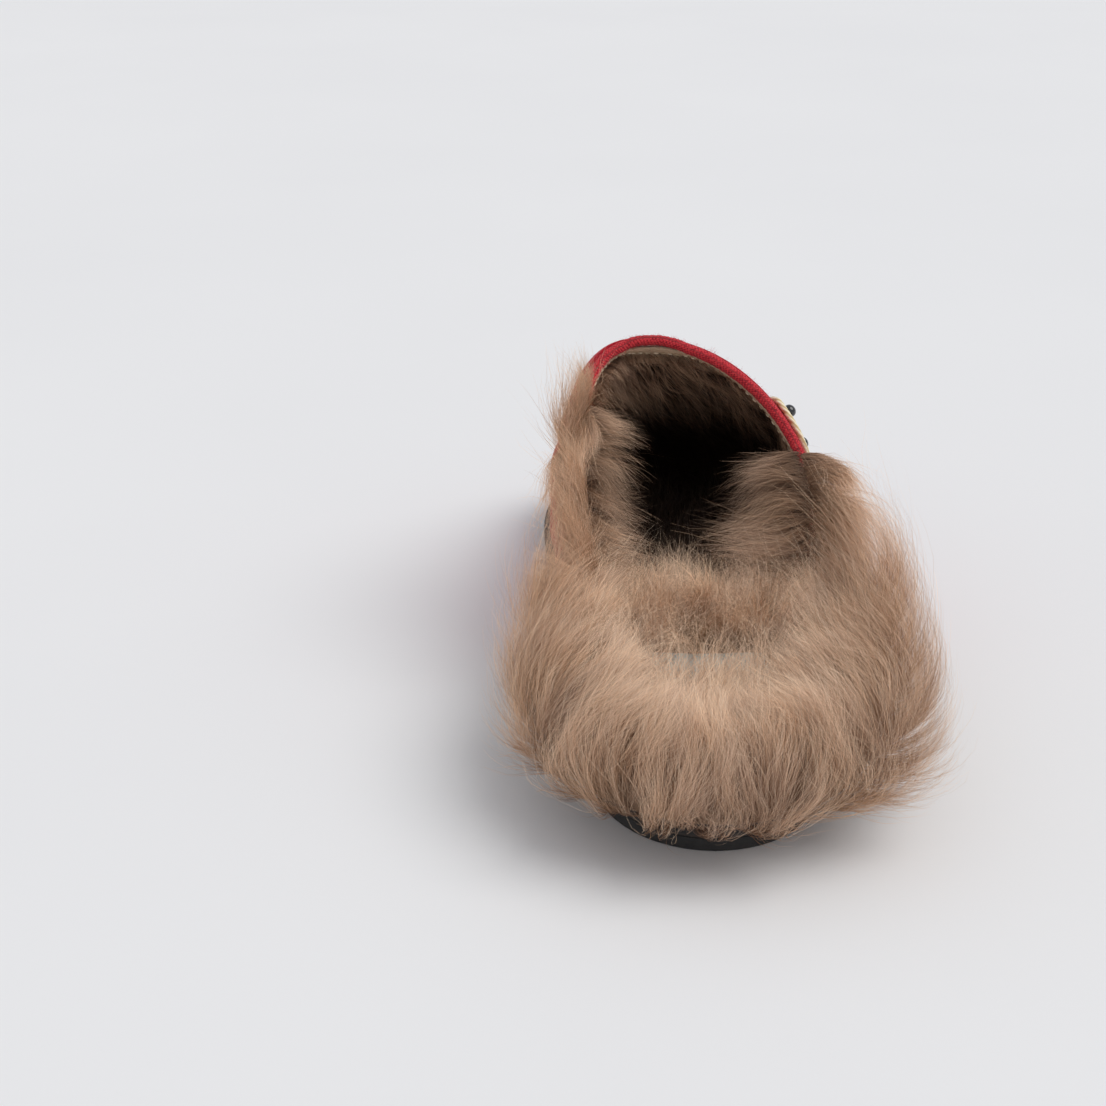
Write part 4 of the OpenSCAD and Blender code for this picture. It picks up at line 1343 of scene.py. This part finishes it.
def lining_hair(count):
    """Short hair lying on the inside of the vamp; it sweeps across the roof and down its sides."""
    u = RNG.uniform(-1, 1, count)
    back = topline_at(u) + RNG.uniform(1.9, 3.0, count) * MM
    station = back + (LINING_FUR_END - back) * RNG.random(count) ** 2
    roots, inward = inner_place(u, station, SKIN_IN + 0.05 * MM)
    inward *= np.where((inward[:, 2] > 0)[:, None] & (np.abs(u) < 0.5)[:, None], -1, 1)
    inward[:, 0] *= np.where((np.abs(u) >= 0.5) & (inward[:, 0] * u > 0), -1, 1)
    roof = 1 - ease((np.abs(u) - 0.35) / 0.25)
    side = np.sign(u)

    def field(points, which):
        drift = drift_of(points, 0.018, 51)
        return inward[which], np.column_stack([
            roof[which] * (0.75 + 0.5 * drift) - side[which] * (1 - roof[which]) * 0.9,
            -0.30 + 0.5 * drift_of(points, 0.02, 52),
            -0.42 + 0.45 * drift_of(points, 0.014, 53)])

    length = (11 + 6 * RNG.random(count) + 12 * (1 - roof)) * MM
    length *= between(0.55, 1.0, (station - back) / 0.010)
    return grow(roots, field, length, per_lock=12, steps=6, gather=0.45, lift=0.3, settle=1.0,
                sag=0.2, wave=0.05, stray=0.12, splay=0.1)


# the lining's hair takes the full painted shade towards the toe
coat("lining_fur", lining_hair(15500), 0.12 * MM, LINING_FUR,
     stands_for="vamp_lining_pile", inside_shade=1.0)


WING_END = 0.985                                # share of the topline where the wings' hair ends


def wing_hair(count, side, start, way, length, inside=0.0, **habit):
    """Hair that springs from one wing's rim, from share start of the way down to the sole.

    Its roots lie round the back of the roll and on the lining for a way inside. Its comb direction
    is given at the rim's upper end and at its lower end.
    """
    u = side * (start + (WING_END - start) * RNG.random(count) ** 1.5)
    middle, _, back, out = topline_frame(u, SKIN_IN / 2, ROLL_R + CLEAR)
    turn = RNG.uniform(-2.4, 1.1, count)[:, None]
    on_roll = middle + 0.9 * ROLL_R * (np.cos(turn) * back + np.sin(turn) * out)
    station = topline_at(u) + RNG.uniform(0, 26 * MM, count)
    on_lining = upper_at(u, station, SKIN_IN)
    roots = np.where((RNG.random(count) < inside)[:, None], on_lining, on_roll)
    down = ((np.abs(u) - start) / (WING_END - start))[:, None]
    base = np.array(way[0]) * (1 - down) + np.array(way[1]) * down
    base = base * np.array([side, 1, 1])

    def field(points, which):
        drift = np.stack([drift_of(points, 0.022, 60 + k) for k in range(3)], -1)
        return np.tile([side * 0.1, -0.6, 0.7], (len(points), 1)), unit(base[which]) + 0.42 * drift

    length = length * (0.5 + 0.65 * RNG.random(count)) * between(0.6, 1, down[:, 0] / 0.2) * MM
    return grow(roots, field, length, **habit)


RIM_HABIT = {"per_lock": 20, "gather": 0.5, "wave": 0.04, "stray": 0.15, "splay": 0.11}
OUTER, INNER = (1, OUTER_FUR_FROM), (-1, INNER_FUR_FROM)        # side, and where its hair begins
RIM_COATS = (
    ("outer_wing_fur", 8500, OUTER, ((0.4, -0.55, -0.1), (0.8, -0.4, 0.4)), 31,
     {"lift": 0.6, "settle": 1.2, "sag": 1.25}),
    ("inner_wing_tuft", 4200, INNER, ((0.22, -0.3, 1.0), (0.3, -0.25, 0.9)), 36,
     {"lift": 0.6, "settle": 1.2, "sag": 0.15}),
    ("inner_wing_fur", 6500, INNER, ((0.0, -0.55, -0.35), (0.4, -0.4, 0.2)), 27,
     {"lift": 0.4, "settle": 1.2, "sag": 1.1}),
)
LINING_COATS = (
    ("outer_wing_lining", 5800, OUTER, ((-1.0, -0.15, -0.1), (-0.85, 0.1, 0.15)), 30,
     {"inside": 0.75, "lift": 0.25, "settle": 1.5, "sag": 0.35}),
    ("inner_wing_lining", 4500, INNER, ((-1.0, -0.1, -0.4), (-0.85, 0.1, 0.0)), 22,
     {"inside": 0.75, "lift": 0.2, "settle": 1.5, "sag": 0.4}),
)
# the wings' lining hair takes part of the painted shade, the rims' hair none
for coats, finish, wing_inside_shade in ((RIM_COATS, HEEL_FUR, 0.0), (LINING_COATS, WING_LINING_FUR, 0.6)):
    for coat_name, hairs, wing, comb_way, hair_length, habits in coats:
        grown_hair = wing_hair(hairs, *wing, comb_way, hair_length, **habits, **RIM_HABIT)
        coat(coat_name, grown_hair, 0.11 * MM, finish, inside_shade=wing_inside_shade)


def felt_fuzz(count):
    """Stray wool fibres standing on the felt, thickest near the roll."""
    u = RNG.uniform(-1, 1, count)
    v = RNG.random(count) ** 1.4
    station = station_at(u, v * 0.97)
    roots = upper_at(u, station, 0.1 * MM)
    _, inward = inner_place(u, station, 0.1 * MM)
    outward = inward * np.where((inward[:, 2:] < -0.05) | (inward[:, :1] * u[:, None] < 0), -1, 1)

    def field(points, which):
        return outward[which], np.stack([drift_of(points, 0.006, 70 + k) for k in range(3)], -1)

    return grow(roots, field, 1.7 * MM, per_lock=2, steps=3, gather=0.0, lift=0.6, sag=0.1,
                stray=0.6, splay=0.4)


coat("felt_fuzz", felt_fuzz(7000), 0.05 * MM, FELT_FUZZ)


def roll_fuzz(count):
    """Stray wool fibres all round the rolled edge."""
    u = RNG.uniform(-0.9, 0.9, count)
    middle, along, back, out = topline_frame(u, SKIN_IN / 2, ROLL_R + CLEAR)
    turn = RNG.uniform(0, 2 * math.pi, count)[:, None]
    outward = np.cos(turn) * back + np.sin(turn) * out
    roots = middle + 0.97 * ROLL_R * outward

    def field(points, which):
        return outward[which], along[which] * drift_of(points, 0.004, 80)[:, None]

    return grow(roots, field, 1.5 * MM, per_lock=2, steps=3, gather=0.0, lift=0.8, sag=0.0,
                stray=0.6, splay=0.5)


coat("roll_fuzz", roll_fuzz(3500), 0.05 * MM, FELT_FUZZ)


# ---- floor, light and camera ---------------------------------------------------------------------

FLOOR_SIDE = 14                                 # metres
SUN_FROM, SUN_STRENGTH, SUN_SPREAD, SUN_TINT = (1.7, -0.5, 2.6), 1.52, 45, (1.0, 0.985, 0.965)
SKY_TINT, SKY_STRENGTH = (0.93, 0.95, 1.0, 1), 0.58
CAMERA_BACK, CAMERA_LEFT, CAMERA_UP = 436 * MM, 44 * MM, 283 * MM
CAMERA_TILT, CAMERA_LENS, SENSOR_WIDTH = 66, 61.8, 36           # degrees, then the film's mm


def stage():
    """A pale floor that fills the camera's own view."""
    bpy.ops.mesh.primitive_plane_add(size=FLOOR_SIDE)
    floor = bpy.context.object
    floor.name = "floor"
    s = Shader("pale_floor", roughness=0.75, specular=0.2)
    s.colour(s.ramp(s.noise(3.0), (0.3, (0.83, 0.83, 0.833)), (0.7, (0.85, 0.85, 0.851))))
    floor.data.materials.append(s.material)


def soft_sun():
    """Even light from one direction, wide enough for soft shadows."""
    lamp = bpy.data.lights.new("key", "SUN")
    lamp.energy = SUN_STRENGTH
    lamp.angle = math.radians(SUN_SPREAD)
    lamp.color = SUN_TINT
    made = bpy.data.objects.new("key", lamp)
    made.location = SUN_FROM
    x, y, z = SUN_FROM
    made.rotation_euler = (math.atan2(math.hypot(x, y), z), 0, math.atan2(y, x) + math.pi / 2)
    bpy.context.scene.collection.objects.link(made)


stage()
soft_sun()
world = bpy.data.worlds.new("studio")
bpy.context.scene.world = world
world.use_nodes = True
background = world.node_tree.nodes["Background"]
background.inputs["Color"].default_value = SKY_TINT
background.inputs["Strength"].default_value = SKY_STRENGTH
bpy.context.scene.view_settings.view_transform = "Standard"

camera = bpy.data.objects.new("camera", bpy.data.cameras.new("camera"))
camera.location = (-CAMERA_LEFT, HEEL_BACK - CAMERA_BACK, CAMERA_UP)
camera.rotation_euler = (math.radians(CAMERA_TILT), 0, 0)
camera.data.sensor_width = SENSOR_WIDTH
camera.data.lens = CAMERA_LENS
camera.data.clip_start = 0.01
bpy.context.scene.collection.objects.link(camera)
bpy.context.scene.camera = camera
